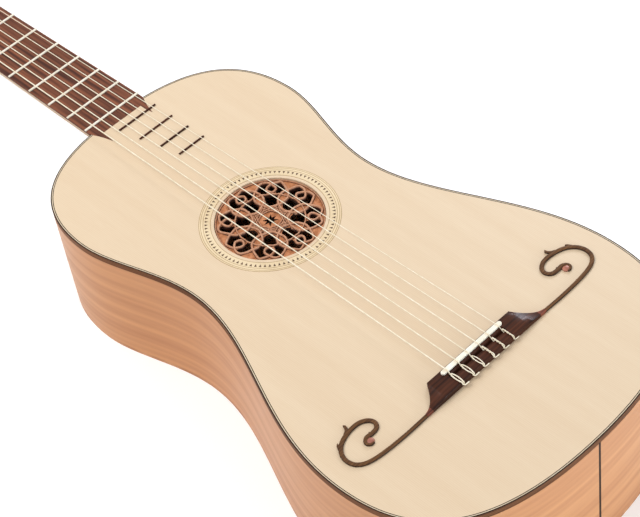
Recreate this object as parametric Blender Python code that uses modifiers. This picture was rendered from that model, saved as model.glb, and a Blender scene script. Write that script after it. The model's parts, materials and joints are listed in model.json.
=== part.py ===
"""Baroque guitar with six single strings, a carved rose and rear tuning pegs, lying on its flat back.

Everything is modelled in the instrument's own frame and hangs under the empty "instrument": the
soundboard's face is z = 0, y runs from the saddle towards the head and x towards the treble side.
The body is deeper at the tail than at the neck, so the empty tips the whole instrument until its
flat back lies level at z = 0, with the origin straight below the middle of the saddle.
"""

import math

import bmesh
import bpy
from mathutils import Matrix, Vector

# Clearance that meshes keep where the real pieces touch
GAP = 0.0003

# String length and the small setback of the saddle behind it
STRING_LENGTH = 0.650
SETBACK = 0.0023

# The fretboard carries this many frets, and the body starts a little beyond the last of them
FRETS_ON_FRETBOARD = 10
BODY_PAST_LAST_FRET = 0.0046

# Body outline: lengths along the body from the tail, and full widths
BODY_LENGTH = 0.4702
LOWER_BOUT_FROM_TAIL = 0.1017
WAIST_FROM_TAIL = 0.2867
UPPER_BOUT_FROM_TAIL = 0.3872
LOWER_BOUT_WIDTH = 0.2702
WAIST_WIDTH = 0.1704
UPPER_BOUT_WIDTH = 0.2100
DEPTH_AT_NECK = 0.097
DEPTH_AT_TAIL = 0.111
# How far each stretch of the outline bulges towards its two ends, neck first
FULLNESS = ((0.55, 0.80), (0.31, 0.37), (0.33, 0.39), (0.55, 0.82))
STEPS_PER_STRETCH = 10

# Plates, ribs and what runs round their edges
SOUNDBOARD_THICKNESS = 0.0024
BACK_THICKNESS = 0.0030
RIB_THICKNESS = 0.0020
BINDING_THICKNESS = 0.0010
BINDING_HEIGHT = 0.0042
PURFLING_WIDTH = 0.0012
LINING_THICKNESS = 0.006
LINING_HEIGHT = 0.012
END_GRAFT_WIDTH = 0.0020

# Blocks and bars inside the body
NECK_BLOCK_WIDTH = 0.060
NECK_BLOCK_LENGTH = 0.028
TAIL_BLOCK_WIDTH = 0.056
TAIL_BLOCK_LENGTH = 0.014
BAR_WIDTH = 0.006
SOUNDBOARD_BAR_HEIGHT = 0.014
BACK_BAR_HEIGHT = 0.012
BAR_TIP_HEIGHT = 0.004
BAR_TIP_LENGTH = 0.022
BAR_FROM_ROSE = 0.054
BACK_BAR_FROM_SADDLE = (0.045, 0.255)

# Rose and the inlaid ring round it
ROSE_FROM_SADDLE = 0.1926
SOUND_HOLE_RADIUS = 0.0402
ROSE_LAP = 0.0035
ROSE_THICKNESS = 0.0025
RING_INNER_RADIUS = 0.0425
RING_OUTER_RADIUS = 0.0512
RING_DEPTH = 0.0012
CIRCLE_STEPS = 48
ROSE_PETALS = 8

# Fretboard, its two points let into the soundboard, and the frets
FRETBOARD_WIDTH_AT_BODY = 0.0530
FRETBOARD_WIDTH_AT_NUT = 0.0458
FRETBOARD_LAP = 0.0077
POINT_LENGTH = 0.0131
POINT_WIDTH = 0.0046
POINT_TIP_INSET = 0.0066
FRET_COUNT = 14
FRET_WIDTH = 0.0018
FRET_HEIGHT = 0.0011
BODY_FRET_RIGHT = 0.0265
BODY_FRET_LENGTHS = (0.0363, 0.0325, 0.0276, 0.0245)
BODY_FRET_WIDTH = 0.0016
BODY_FRET_HEIGHT = 0.0009

# Neck, heel and nut
NECK_DEPTH_AT_NUT = 0.0165
NECK_DEPTH_AT_HEEL = 0.0200
# How much of the neck's back is a plain half round; the rest falls away faster from the fretboard
NECK_ROUNDNESS = 0.3
HEEL_LENGTH = 0.045
HEEL_STEEPNESS = 3.5
# Depth over which the heel narrows from the fretboard to its keel
HEEL_HOLLOW = 0.020
HEEL_FLAT_LENGTH = 0.014
HEEL_FOOT_WIDTH = 0.026
HEEL_CAP_THICKNESS = 0.003
NECK_END_TAPER = 0.022
NUT_THICKNESS = 0.0048
NUT_RISE = 0.0024
NUT_SLOT_DEPTH = 0.0009

# Head and pegs
HEAD_ANGLE = math.radians(7.5)
HEAD_LENGTH = 0.170
HEAD_THICKNESS = 0.0135
VENEER_THICKNESS = 0.0015
FIRST_PEG_FROM_NUT = 0.038
PEG_PITCH = 0.045
PEG_OFFSETS = (0.0200, 0.0180, 0.0140)
PEG_FRONT_RADIUS = 0.0034
PEG_BACK_RADIUS = 0.0042
PEG_FRONT_LENGTH = 0.0140
PEG_COLLAR_RADIUS = 0.0062
PEG_COLLAR_LENGTH = 0.0030
PEG_WAIST_RADIUS = 0.0030
PEG_WAIST_LENGTH = 0.0045
PEG_GRIP_WIDTH = 0.0200
PEG_GRIP_LENGTH = 0.0210
PEG_GRIP_THICKNESS = 0.0075
PEG_STEPS = 12

# Bridge, saddle and scrolls
BRIDGE_REAR = 0.0145
BRIDGE_WIDTH = 0.0177
BRIDGE_HEIGHT = 0.0045
BRIDGE_FLAT_LENGTH = 0.0790
BRIDGE_END_LENGTH = 0.0182
BRIDGE_TIP_WIDTH = 0.0022
BRIDGE_TIP_HEIGHT = 0.0021
TROUGH_LENGTH = 0.0530
TROUGH_REAR = 0.00695
TROUGH_FLOOR = 0.0018
TIE_HOLE_HEIGHT = 0.0027
SADDLE_LENGTH = 0.0578
SADDLE_THICKNESS = 0.0036
SADDLE_SLOT_FLOOR = 0.0024
SADDLE_TOP = 0.0058
SADDLE_EDGE = 0.0011
SCROLL_HEIGHT = 0.0014
SCROLL_STEM_WIDTH = 0.0024
SCROLL_CURL_WIDTH = 0.0033
SCROLL_BUD_RADIUS = 0.0030
SCROLL_BUD_MIDDLE = (0.0962, 0.0004)
# Two leaf points that stand off the curl's outer side
SCROLL_THORNS = (
    (
        (0.1050, 0.0135), (0.0990, 0.0148), (0.0985, 0.0172), (0.0970, 0.0200), (0.0973, 0.0222),
        (0.0985, 0.0229), (0.0993, 0.0218), (0.0991, 0.0204), (0.1007, 0.0184), (0.1046, 0.0157),
    ),
    ((0.1146, 0.0075), (0.1108, 0.0108), (0.1108, 0.0128), (0.1099, 0.0148), (0.1108, 0.0152), (0.1132, 0.0127)),
)

# Strings, first the thickest on the bass side
STRING_DIAMETERS = (0.0010, 0.0009, 0.0008, 0.0008, 0.0007, 0.0006)
STRING_SPACING_AT_SADDLE = 0.0099
STRING_SPACING_AT_NUT = 0.00725
OPEN_TIES = 3
TIE_HALF_WIDTH = 0.0011
TIE_LOOP_REACH = 0.0016
TIE_TAIL_LENGTH = 0.0043
TIE_TWIST_TURNS = 2
WINDING_TURNS = 2
WINDING_POINTS_PER_TURN = 24
WINDING_FROM_FACE = 0.0045
WINDING_LEAST_GAP = 0.0006


def fret_y(number):
    return SETBACK + STRING_LENGTH * 2 ** (-number / 12)


BODY_TOP_Y = fret_y(FRETS_ON_FRETBOARD) - BODY_PAST_LAST_FRET
BODY_TAIL_Y = BODY_TOP_Y - BODY_LENGTH
NUT_Y = SETBACK + STRING_LENGTH
NECK_END_Y = NUT_Y + NUT_THICKNESS
NECK_FACE = -(SOUNDBOARD_THICKNESS + GAP)
HEAD_BACK = VENEER_THICKNESS + GAP + HEAD_THICKNESS
BACK_SLOPE = (DEPTH_AT_TAIL - DEPTH_AT_NECK) / BODY_LENGTH
TILT = math.atan(BACK_SLOPE)

for old in list(bpy.data.objects):
    bpy.data.objects.remove(old)

guitar = bpy.data.collections.new("baroque_guitar")
cutters = bpy.data.collections.new("cutters")
bpy.context.scene.collection.children.link(guitar)
bpy.context.scene.collection.children.link(cutters)


def material(name, colour, roughness, metallic=0.0):
    made = bpy.data.materials.new(name)
    made.use_nodes = True
    shader = made.node_tree.nodes["Principled BSDF"]
    shader.inputs["Base Color"].default_value = (*colour, 1.0)
    shader.inputs["Roughness"].default_value = roughness
    shader.inputs["Metallic"].default_value = metallic
    return made


SPRUCE = material("spruce", (0.85, 0.70, 0.48), 0.45)
CHERRY = material("cherry", (0.66, 0.36, 0.20), 0.35)
MAPLE = material("maple", (0.76, 0.58, 0.38), 0.40)
SOFTWOOD = material("inner_softwood", (0.72, 0.55, 0.35), 0.70)
BROWN_BINDING = material("brown_binding", (0.17, 0.08, 0.045), 0.35)
DARK_PURFLING = material("dark_purfling", (0.05, 0.03, 0.02), 0.45)
ROSEWOOD = material("rosewood", (0.16, 0.06, 0.035), 0.40)
DARK_WOOD = material("dark_bridge_wood", (0.045, 0.018, 0.012), 0.35)
SCROLL_WOOD = material("scroll_wood", (0.15, 0.06, 0.025), 0.40)
ROSE_WOOD = material("carved_rose_wood", (0.42, 0.18, 0.09), 0.50)
RING_WOOD = material("ring_inlay", (0.70, 0.52, 0.32), 0.45)
BONE = material("bone", (0.88, 0.82, 0.70), 0.30)
NYLON = material("string", (0.86, 0.84, 0.78), 0.25)
PEG_WOOD = material("peg_wood", (0.10, 0.035, 0.02), 0.30)


def back_face(y):
    """Height of the back's outer face at y, in the instrument's frame."""
    return -(DEPTH_AT_NECK + BACK_SLOPE * (BODY_TOP_Y - y))


def empty(name, parent, matrix):
    made = bpy.data.objects.new(name, None)
    guitar.objects.link(made)
    made.parent = parent
    made.matrix_local = matrix
    return made


REST = Matrix.Translation((0, 0, -back_face(0) * math.cos(TILT))) @ Matrix.Rotation(-TILT, 4, "X")
instrument = empty("instrument", None, REST)
HEAD_FRAME = Matrix.Translation((0, NECK_END_Y + GAP, 0)) @ Matrix.Rotation(-HEAD_ANGLE, 4, "X")
head_frame = empty("head_frame", instrument, HEAD_FRAME)


def piece(name, mesh, finish, parent=instrument, matrix=None):
    """A named sub-part with its own finish."""
    made = bpy.data.objects.new(name, mesh)
    guitar.objects.link(made)
    if not mesh.materials:
        mesh.materials.append(finish)
    made.parent = parent
    if matrix:
        made.matrix_local = matrix
    mesh.shade_smooth()
    mesh.set_sharp_from_angle(angle=math.radians(35))
    return made


def cutter(name, mesh, parent=instrument):
    made = bpy.data.objects.new(name, mesh)
    cutters.objects.link(made)
    made.parent = parent
    made.hide_render = True
    made.display_type = "WIRE"
    return made


def boolean(target, other, operation):
    modifier = target.modifiers.new(f"{operation.lower()}_{other.name}", "BOOLEAN")
    modifier.operation = operation
    modifier.object = other
    modifier.solver = "EXACT"


def bevel(target, width, segments=2, angle=40):
    modifier = target.modifiers.new("edges", "BEVEL")
    modifier.width = width
    modifier.segments = segments
    modifier.limit_method = "ANGLE"
    modifier.angle_limit = math.radians(angle)


def mesh_of(curve_object):
    """The curve's evaluated mesh with its loose caps welded on; the curve is removed."""
    bpy.context.view_layer.update()
    graph = bpy.context.evaluated_depsgraph_get()
    mesh = bpy.data.meshes.new_from_object(curve_object.evaluated_get(graph))
    bpy.data.objects.remove(curve_object)
    work = bmesh.new()
    work.from_mesh(mesh)
    bmesh.ops.remove_doubles(work, verts=work.verts, dist=1e-6)
    bmesh.ops.recalc_face_normals(work, faces=work.faces)
    work.to_mesh(mesh)
    work.free()
    return mesh


def plate(name, loops, top, bottom):
    """A flat outline, with any holes as further loops, extruded from bottom to top.

    Either level is a height or a function of y, so that a face can follow the sloping back.
    """
    curve = bpy.data.curves.new(name, "CURVE")
    curve.dimensions = "2D"
    curve.fill_mode = "BOTH"
    curve.extrude = 0.5
    for loop in loops:
        spline = curve.splines.new("POLY")
        spline.points.add(len(loop) - 1)
        for point, place in zip(spline.points, loop):
            point.co = (place[0], place[1], 0, 1)
        spline.use_cyclic_u = True
    helper = bpy.data.objects.new(name, curve)
    guitar.objects.link(helper)
    mesh = mesh_of(helper)
    for vertex in mesh.vertices:
        level = top if vertex.co.z > 0 else bottom
        vertex.co.z = level(vertex.co.y) if callable(level) else level
    return mesh


def rail(name, profile, length, start=None):
    """A (y, z) profile extruded along x, centred on x = 0 unless it starts somewhere."""
    low = -length / 2 if start is None else start
    mesh = plate(name, [profile], low + length, low)
    mesh.transform(Matrix(((0, 0, 1, 0), (1, 0, 0, 0), (0, 1, 0, 0), (0, 0, 0, 1))))
    return mesh


def tube(name, points, diameter, sides_level=1):
    """An unbroken tube along points, with filled caps."""
    curve = bpy.data.curves.new(name, "CURVE")
    curve.dimensions = "3D"
    curve.bevel_depth = diameter / 2
    curve.bevel_resolution = sides_level
    curve.use_fill_caps = True
    spline = curve.splines.new("POLY")
    spline.points.add(len(points) - 1)
    for point, place in zip(spline.points, points):
        point.co = (*place, 1)
    helper = bpy.data.objects.new(name, curve)
    guitar.objects.link(helper)
    return mesh_of(helper)


def loft(name, sections):
    """A closed skin over sections that each have the same number of points."""
    work = bmesh.new()
    rings = [[work.verts.new(point) for point in section] for section in sections]
    count = len(rings[0])
    for near, far in zip(rings, rings[1:]):
        for i in range(count):
            j = (i + 1) % count
            work.faces.new((near[i], near[j], far[j], far[i]))
    work.faces.new(rings[0][::-1])
    work.faces.new(rings[-1])
    bmesh.ops.recalc_face_normals(work, faces=work.faces)
    mesh = bpy.data.meshes.new(name)
    work.to_mesh(mesh)
    work.free()
    return mesh


def circle(radius, centre=(0, 0), steps=CIRCLE_STEPS, start=0.0):
    return [
        (
            centre[0] + radius * math.cos(start + 2 * math.pi * i / steps),
            centre[1] + radius * math.sin(start + 2 * math.pi * i / steps),
        )
        for i in range(steps)
    ]


def smooth(points, per_span):
    """Points on a Catmull-Rom curve that passes through every given point."""
    points = [Vector(p) for p in points]
    ends = [2 * points[0] - points[1], *points, 2 * points[-1] - points[-2]]
    found = []
    for a, b, c, d in zip(ends, ends[1:], ends[2:], ends[3:]):
        for k in range(per_span):
            t = k / per_span
            found.append(
                0.5 * (2 * b + (c - a) * t + (2 * a - 5 * b + 4 * c - d) * t * t
                       + (3 * b - a - 3 * c + d) * t ** 3)
            )
    found.append(points[-1])
    return found


# Body outline: four stretches that meet at the widest and narrowest places


def outline_stretches():
    turns = [
        Vector((0, BODY_TOP_Y)),
        Vector((UPPER_BOUT_WIDTH / 2, BODY_TAIL_Y + UPPER_BOUT_FROM_TAIL)),
        Vector((WAIST_WIDTH / 2, BODY_TAIL_Y + WAIST_FROM_TAIL)),
        Vector((LOWER_BOUT_WIDTH / 2, BODY_TAIL_Y + LOWER_BOUT_FROM_TAIL)),
        Vector((0, BODY_TAIL_Y)),
    ]
    stretches = []
    for k, (first, last) in enumerate(zip(turns, turns[1:])):
        drop = first.y - last.y
        leave = Vector((FULLNESS[k][0] * last.x, 0)) if k == 0 else Vector((0, -FULLNESS[k][0] * drop))
        arrive = Vector((FULLNESS[k][1] * first.x, 0)) if k == 3 else Vector((0, FULLNESS[k][1] * drop))
        stretches.append((first, first + leave, last + arrive, last))
    return stretches


STRETCHES = outline_stretches()
OUTLINE_END = len(STRETCHES)


def edge_point(s, inset):
    """Point of the treble side's outline, moved inwards; s runs from 0 at the neck to 4 at the tail."""
    k = min(int(s), OUTLINE_END - 1)
    a, b, c, d = STRETCHES[k]
    t = s - k
    place = a * (1 - t) ** 3 + 3 * b * (1 - t) ** 2 * t + 3 * c * (1 - t) * t * t + d * t ** 3
    along = (b - a) * (1 - t) ** 2 + 2 * (c - b) * (1 - t) * t + (d - c) * t * t
    inwards = Vector((along.y, -along.x)).normalized()
    return place + inwards * inset


def from_x(points, x):
    """The line without its start, up to where it first stands x from the middle."""
    for k, (first, last) in enumerate(zip(points, points[1:])):
        if last.x > x:
            return [first.lerp(last, (x - first.x) / (last.x - first.x)), *points[k + 1:]]
    raise ValueError("the line never gets that far from the middle")


def half_edge(inset, neck_x=0.0, tail_x=0.0):
    """The treble half of the inset outline, from neck to tail, starting and ending x from the middle."""
    count = OUTLINE_END * STEPS_PER_STRETCH
    points = [edge_point(i / STEPS_PER_STRETCH, inset) for i in range(count + 1)]
    if neck_x:
        points = from_x(points, neck_x)
    if tail_x:
        points = from_x(points[::-1], tail_x)[::-1]
    return points


def mirrored(points):
    return [Vector((-p.x, p.y)) for p in reversed(points)]


def full_edge(inset):
    half = half_edge(inset)
    return half + mirrored(half)[1:-1]


def half_width(y, inset):
    """Half the body's inset width at y."""
    points = half_edge(inset)
    for first, last in zip(points, points[1:]):
        if last.y <= y <= first.y and first.y > last.y:
            return first.x + (last.x - first.x) * (first.y - y) / (first.y - last.y)
    raise ValueError("y is beyond the body")


def band(outer, inner, neck_x=0.0, tail_x=0.0):
    """Outline of a strip along the treble half, between two insets."""
    return half_edge(outer, neck_x, tail_x) + half_edge(inner, neck_x, tail_x)[::-1]


def flipped(points):
    return [Vector((-p.x, p.y)) for p in points]


SOUNDBOARD_INSET = BINDING_THICKNESS + PURFLING_WIDTH + 2 * GAP
LINING_INSET = RIB_THICKNESS + GAP
NOTCH = FRETBOARD_WIDTH_AT_BODY / 2 + GAP
RIB_TOP = -(BINDING_HEIGHT + GAP)
BAR_INSET = LINING_INSET + LINING_THICKNESS + GAP


def back_inside(y):
    return back_face(y) + BACK_THICKNESS


def rib_bottom(y):
    return back_inside(y) + GAP


# Fretboard outline


def fretboard_half_width(y):
    share = (y - BODY_TOP_Y) / (NUT_Y - BODY_TOP_Y)
    return (FRETBOARD_WIDTH_AT_BODY + (FRETBOARD_WIDTH_AT_NUT - FRETBOARD_WIDTH_AT_BODY) * share) / 2


def fretboard_loop(clearance):
    """The fretboard with its two points, grown on all sides by a clearance."""
    end_y = BODY_TOP_Y - FRETBOARD_LAP
    tip_y = end_y - POINT_LENGTH
    edge = FRETBOARD_WIDTH_AT_BODY / 2
    tip_x = edge - POINT_TIP_INSET
    root_x = edge - POINT_WIDTH - 0.5 * POINT_TIP_INSET
    shoulder = (BODY_TOP_Y + end_y) / 2
    middle = (end_y + tip_y) / 2
    half = [
        Vector((fretboard_half_width(NUT_Y) + clearance, NUT_Y - GAP + clearance)),
        Vector((edge + clearance, BODY_TOP_Y)),
        Vector((edge - 0.17 * POINT_TIP_INSET + clearance, shoulder)),
        Vector((edge - 0.42 * POINT_TIP_INSET + clearance, end_y)),
        Vector((edge - 0.75 * POINT_TIP_INSET + clearance, middle)),
        Vector((tip_x + clearance, tip_y - clearance)),
        Vector((tip_x - clearance, tip_y - clearance)),
        Vector(((tip_x + root_x) / 2 - 0.1 * POINT_WIDTH - clearance, middle - clearance)),
        Vector((root_x - clearance, end_y - clearance)),
    ]
    if clearance == 0:
        del half[6]
    return half + mirrored(half)


def rounded_bar(width, low, height, y=0.0, steps=6):
    """Profile with a flat foot and a round crown."""
    crown = [
        (y + width / 2 * math.cos(math.pi * i / steps), low + height * 0.35 + height * 0.65 * math.sin(math.pi * i / steps))
        for i in range(steps + 1)
    ]
    return [(y + width / 2, low), *crown, (y - width / 2, low)]


# The box of the body


def make_soundboard():
    outline = full_edge(SOUNDBOARD_INSET)
    hole = circle(SOUND_HOLE_RADIUS, (0, ROSE_FROM_SADDLE))
    board = piece("soundboard", plate("soundboard", [outline, hole], 0, -SOUNDBOARD_THICKNESS), SPRUCE)
    notch = plate("notch_cutter", [fretboard_loop(GAP)], 0.004, -0.008)
    boolean(board, cutter("notch_cutter", notch), "DIFFERENCE")
    groove = plate(
        "ring_groove_cutter",
        [
            circle(RING_OUTER_RADIUS + GAP, (0, ROSE_FROM_SADDLE)),
            circle(RING_INNER_RADIUS - GAP, (0, ROSE_FROM_SADDLE)),
        ],
        0.004,
        -(RING_DEPTH + GAP),
    )
    boolean(board, cutter("ring_groove_cutter", groove), "DIFFERENCE")


def make_edges():
    strip = half_edge(0, NOTCH) + mirrored(half_edge(0, NOTCH))[1:]
    strip += flipped(half_edge(BINDING_THICKNESS, NOTCH)) + mirrored(flipped(half_edge(BINDING_THICKNESS, NOTCH)))[1:]
    piece("binding_top", plate("binding_top", [strip], 0, -BINDING_HEIGHT), BROWN_BINDING)
    outer = BINDING_THICKNESS + GAP
    inner = outer + PURFLING_WIDTH
    strip = half_edge(outer, NOTCH) + mirrored(half_edge(outer, NOTCH))[1:]
    strip += flipped(half_edge(inner, NOTCH)) + mirrored(flipped(half_edge(inner, NOTCH)))[1:]
    piece("purfling_top", plate("purfling_top", [strip], 0, -SOUNDBOARD_THICKNESS), DARK_PURFLING)
    ring = [full_edge(LINING_INSET), full_edge(LINING_INSET + LINING_THICKNESS)]
    low = NECK_FACE - LINING_HEIGHT
    piece("lining_top", plate("lining_top", ring, NECK_FACE, low), SOFTWOOD)
    level = plate(
        "lining_back", ring, lambda y: back_inside(y) + GAP + LINING_HEIGHT, lambda y: back_inside(y) + GAP
    )
    piece("lining_back", level, SOFTWOOD)


def make_ribs_and_back():
    piece("back", plate("back", [full_edge(0)], back_inside, back_face), CHERRY)
    ledge_loops = [full_edge(-RIB_THICKNESS), full_edge(BINDING_THICKNESS + GAP)]
    ledge = cutter("binding_ledge_cutter", plate("binding_ledge_cutter", ledge_loops, RIB_THICKNESS, RIB_TOP))
    tail_x = END_GRAFT_WIDTH / 2 + GAP
    treble = band(0, RIB_THICKNESS, GAP / 2, tail_x)
    for name, loop in (("rib_treble", treble), ("rib_bass", flipped(treble))):
        rib = piece(name, plate(name, [loop], NECK_FACE, rib_bottom), CHERRY)
        boolean(rib, ledge, "DIFFERENCE")
    half = END_GRAFT_WIDTH / 2
    graft = [
        (-half, BODY_TAIL_Y),
        (half, BODY_TAIL_Y),
        (half, BODY_TAIL_Y + RIB_THICKNESS),
        (-half, BODY_TAIL_Y + RIB_THICKNESS),
    ]
    piece("end_graft", plate("end_graft", [graft], RIB_TOP, rib_bottom), DARK_PURFLING)


def block_edge(width, near_tail):
    """The inner face of the ribs over the width of a block, from treble to bass."""
    points = half_edge(LINING_INSET)
    outwards = points[::-1] if near_tail else points
    beyond = from_x(outwards, width / 2)
    half = [beyond[0], *outwards[len(outwards) - len(beyond)::-1]]
    return half + mirrored(half)[1:]


def make_blocks():
    top = NECK_FACE - LINING_HEIGHT - GAP

    def bottom(y):
        return back_inside(y) + 2 * GAP + LINING_HEIGHT

    edge = block_edge(NECK_BLOCK_WIDTH, near_tail=False)
    inner = BODY_TOP_Y - LINING_INSET - NECK_BLOCK_LENGTH
    loop = [*edge, Vector((edge[-1].x, inner)), Vector((edge[0].x, inner))]
    piece("neck_block", plate("neck_block", [loop], top, bottom), SOFTWOOD)
    edge = block_edge(TAIL_BLOCK_WIDTH, near_tail=True)
    inner = BODY_TAIL_Y + LINING_INSET + TAIL_BLOCK_LENGTH
    loop = [*edge, Vector((edge[-1].x, inner)), Vector((edge[0].x, inner))]
    piece("tail_block", plate("tail_block", [loop], top, bottom), SOFTWOOD)


def bar_profile(y, low, high, tip_at_low):
    """(x, z) outline of a transverse bar whose ends thin towards the plate that it is glued to."""
    reach = min(half_width(y - BAR_WIDTH / 2, BAR_INSET), half_width(y + BAR_WIDTH / 2, BAR_INSET))
    shoulder = reach - BAR_TIP_LENGTH
    if tip_at_low:
        tip = low + BAR_TIP_HEIGHT
        return [(-reach, low), (reach, low), (reach, tip), (shoulder, high), (-shoulder, high), (-reach, tip)]
    tip = high - BAR_TIP_HEIGHT
    return [(-reach, tip), (-shoulder, low), (shoulder, low), (reach, tip), (reach, high), (-reach, high)]


def make_bars():
    turn = Matrix(((1, 0, 0, 0), (0, 0, 1, 0), (0, 1, 0, 0), (0, 0, 0, 1)))
    top = NECK_FACE
    for name, y in (
        ("soundboard_bar_upper", ROSE_FROM_SADDLE + BAR_FROM_ROSE),
        ("soundboard_bar_lower", ROSE_FROM_SADDLE - BAR_FROM_ROSE),
    ):
        profile = bar_profile(y, top - SOUNDBOARD_BAR_HEIGHT, top, tip_at_low=False)
        mesh = plate(name, [profile], y + BAR_WIDTH / 2, y - BAR_WIDTH / 2)
        mesh.transform(turn)
        mesh.flip_normals()
        piece(name, mesh, SPRUCE)
    for name, y in zip(("back_bar_lower", "back_bar_upper"), BACK_BAR_FROM_SADDLE):
        low = back_inside(y + BAR_WIDTH / 2) + GAP
        profile = bar_profile(y, low, low + BACK_BAR_HEIGHT, tip_at_low=True)
        mesh = plate(name, [profile], y + BAR_WIDTH / 2, y - BAR_WIDTH / 2)
        mesh.transform(turn)
        mesh.flip_normals()
        piece(name, mesh, SPRUCE)


# Rose: a round plate pierced in eight like parts


def rose_openings():
    """Loops of the openings between the strands, round the rose's middle."""
    step = 2 * math.pi / ROSE_PETALS
    scale = SOUND_HOLE_RADIUS
    star = []
    for k in range(ROSE_PETALS):
        for radius, turn in ((0.115, 0.0), (0.060, 0.5)):
            angle = (k + turn) * step
            star.append((radius * scale * math.cos(angle), radius * scale * math.sin(angle)))
    loops = [star]
    pane = ((0.36, -0.19), (0.42, -0.29), (0.60, -0.27), (0.60, 0.27), (0.42, 0.29), (0.36, 0.19))
    side = ((0.67, 0.17), (0.75, 0.19), (0.87, 0.13), (0.90, 0.23), (0.85, 0.32), (0.76, 0.42), (0.67, 0.33))
    for k in range(ROSE_PETALS):
        for shape, mirror in ((pane, 1), (side, 1), (side, -1)):
            loops.append([
                (
                    radius * scale * math.cos((k + mirror * turn) * step),
                    radius * scale * math.sin((k + mirror * turn) * step),
                )
                for radius, turn in shape
            ])
        centre = (0.755 * scale * math.cos(k * step), 0.755 * scale * math.sin(k * step))
        loops.append(circle(0.055 * scale, centre, 8))
    return loops


def make_rose():
    middle = Vector((0, ROSE_FROM_SADDLE))
    loops = [circle(SOUND_HOLE_RADIUS + ROSE_LAP)]
    loops += rose_openings()
    loops = [[(middle.x + x, middle.y + y) for x, y in loop] for loop in loops]
    mesh = plate("rose", loops, NECK_FACE, NECK_FACE - ROSE_THICKNESS)
    piece("rose", mesh, ROSE_WOOD)
    ring = [circle(RING_OUTER_RADIUS, middle), circle(RING_INNER_RADIUS, middle)]
    piece("rose_ring", plate("rose_ring", ring, 0, -RING_DEPTH), RING_WOOD)


# Neck, fretboard and head


def neck_section(y, half, depth, heel_share, foot):
    """Rounded neck section that turns into the heel's hollow-sided keel as heel_share goes to 1."""
    steps = 8
    points = []
    for k in range(steps + 1):
        angle = math.pi / 2 * k / steps
        round_x = half * math.cos(angle)
        round_z = depth * (NECK_ROUNDNESS * math.sin(angle) + (1 - NECK_ROUNDNESS) * math.sin(angle) ** 2)
        share = min(1.0, k / (steps - 1))
        keel_z = depth * share ** 1.6
        keel_x = foot + (half - foot) * math.exp(-keel_z / HEEL_HOLLOW)
        keel_x = 0.0 if k == steps else keel_x
        x = round_x + (keel_x - round_x) * heel_share
        z = round_z + (keel_z - round_z) * heel_share
        points.append((x, y, NECK_FACE - z))
    return points + [(-x, yy, z) for x, yy, z in reversed(points[:-1])]


def make_neck():
    flat_end = BODY_TOP_Y + HEEL_FLAT_LENGTH
    heel_end = BODY_TOP_Y + HEEL_LENGTH
    foot = HEEL_FOOT_WIDTH / 2

    def full_depth(y):
        return NECK_FACE - (back_face(y) + HEEL_CAP_THICKNESS + GAP)

    def neck_depth(y):
        share = (y - BODY_TOP_Y) / (NECK_END_Y - BODY_TOP_Y)
        return NECK_DEPTH_AT_HEEL + (NECK_DEPTH_AT_NUT - NECK_DEPTH_AT_HEEL) * share

    sections = []
    start = BODY_TOP_Y - 2 * RIB_THICKNESS
    for y, narrowing in ((start, 1.0), (BODY_TOP_Y + HEEL_FLAT_LENGTH * 0.5, 0.85), (flat_end, 0.5)):
        sections.append(neck_section(y, fretboard_half_width(y), full_depth(y), 1.0, foot * narrowing))
    for v in (0.06, 0.14, 0.25, 0.4, 0.6, 0.8, 1.0):
        y = flat_end + (heel_end - flat_end) * v
        left = 1 - v
        depth = neck_depth(y) + (full_depth(y) - neck_depth(y)) * left ** HEEL_STEEPNESS
        sections.append(neck_section(y, fretboard_half_width(y), depth, left ** 1.5, foot * 0.5 * left))
    thin = HEAD_BACK + NECK_FACE
    for y, depth in (
        ((heel_end + NECK_END_Y) / 2, None),
        (NECK_END_Y - NECK_END_TAPER, None),
        (NECK_END_Y, thin),
    ):
        depth = neck_depth(y) if depth is None else depth
        sections.append(neck_section(y, fretboard_half_width(min(y, NUT_Y)), depth, 0.0, 0.0))
    neck = piece("neck", loft("neck", sections), MAPLE)
    body = plate("body_shape_cutter", [full_edge(-GAP)], 0.02, -0.2)
    boolean(neck, cutter("body_shape_cutter", body), "DIFFERENCE")
    half = [Vector((foot, BODY_TOP_Y + GAP))]
    for share, narrowing in ((0.5, 0.85), (1.0, 0.5)):
        half.append(Vector((foot * narrowing, BODY_TOP_Y + HEEL_FLAT_LENGTH * share)))
    loop = half + mirrored(half)
    cap = plate("heel_cap", [loop], lambda y: back_face(y) + HEEL_CAP_THICKNESS, back_face)
    piece("heel_cap", cap, ROSEWOOD)


def make_fretboard():
    board = plate("fretboard", [fretboard_loop(0)], 0, -SOUNDBOARD_THICKNESS)
    piece("fretboard", board, ROSEWOOD)
    body_lengths = iter(BODY_FRET_LENGTHS)
    for number in range(1, FRET_COUNT + 1):
        y = fret_y(number)
        if number <= FRETS_ON_FRETBOARD:
            length = 2 * fretboard_half_width(y)
            mesh = rail("fret", rounded_bar(FRET_WIDTH, GAP, FRET_HEIGHT, y), length)
            piece(f"fret_{number:02d}", mesh, BONE)
        else:
            length = next(body_lengths, BODY_FRET_LENGTHS[-1])
            profile = rounded_bar(BODY_FRET_WIDTH, GAP, BODY_FRET_HEIGHT, y)
            mesh = rail("body_fret", profile, length, BODY_FRET_RIGHT - length)
            piece(f"body_fret_{number:02d}", mesh, DARK_WOOD)


def string_x(number, spacing):
    return (number - (len(STRING_DIAMETERS) - 1) / 2) * spacing


def nut_rest(number):
    """Height of a string's middle line over the nut."""
    return NUT_RISE - NUT_SLOT_DEPTH + GAP + STRING_DIAMETERS[number] / 2


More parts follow.
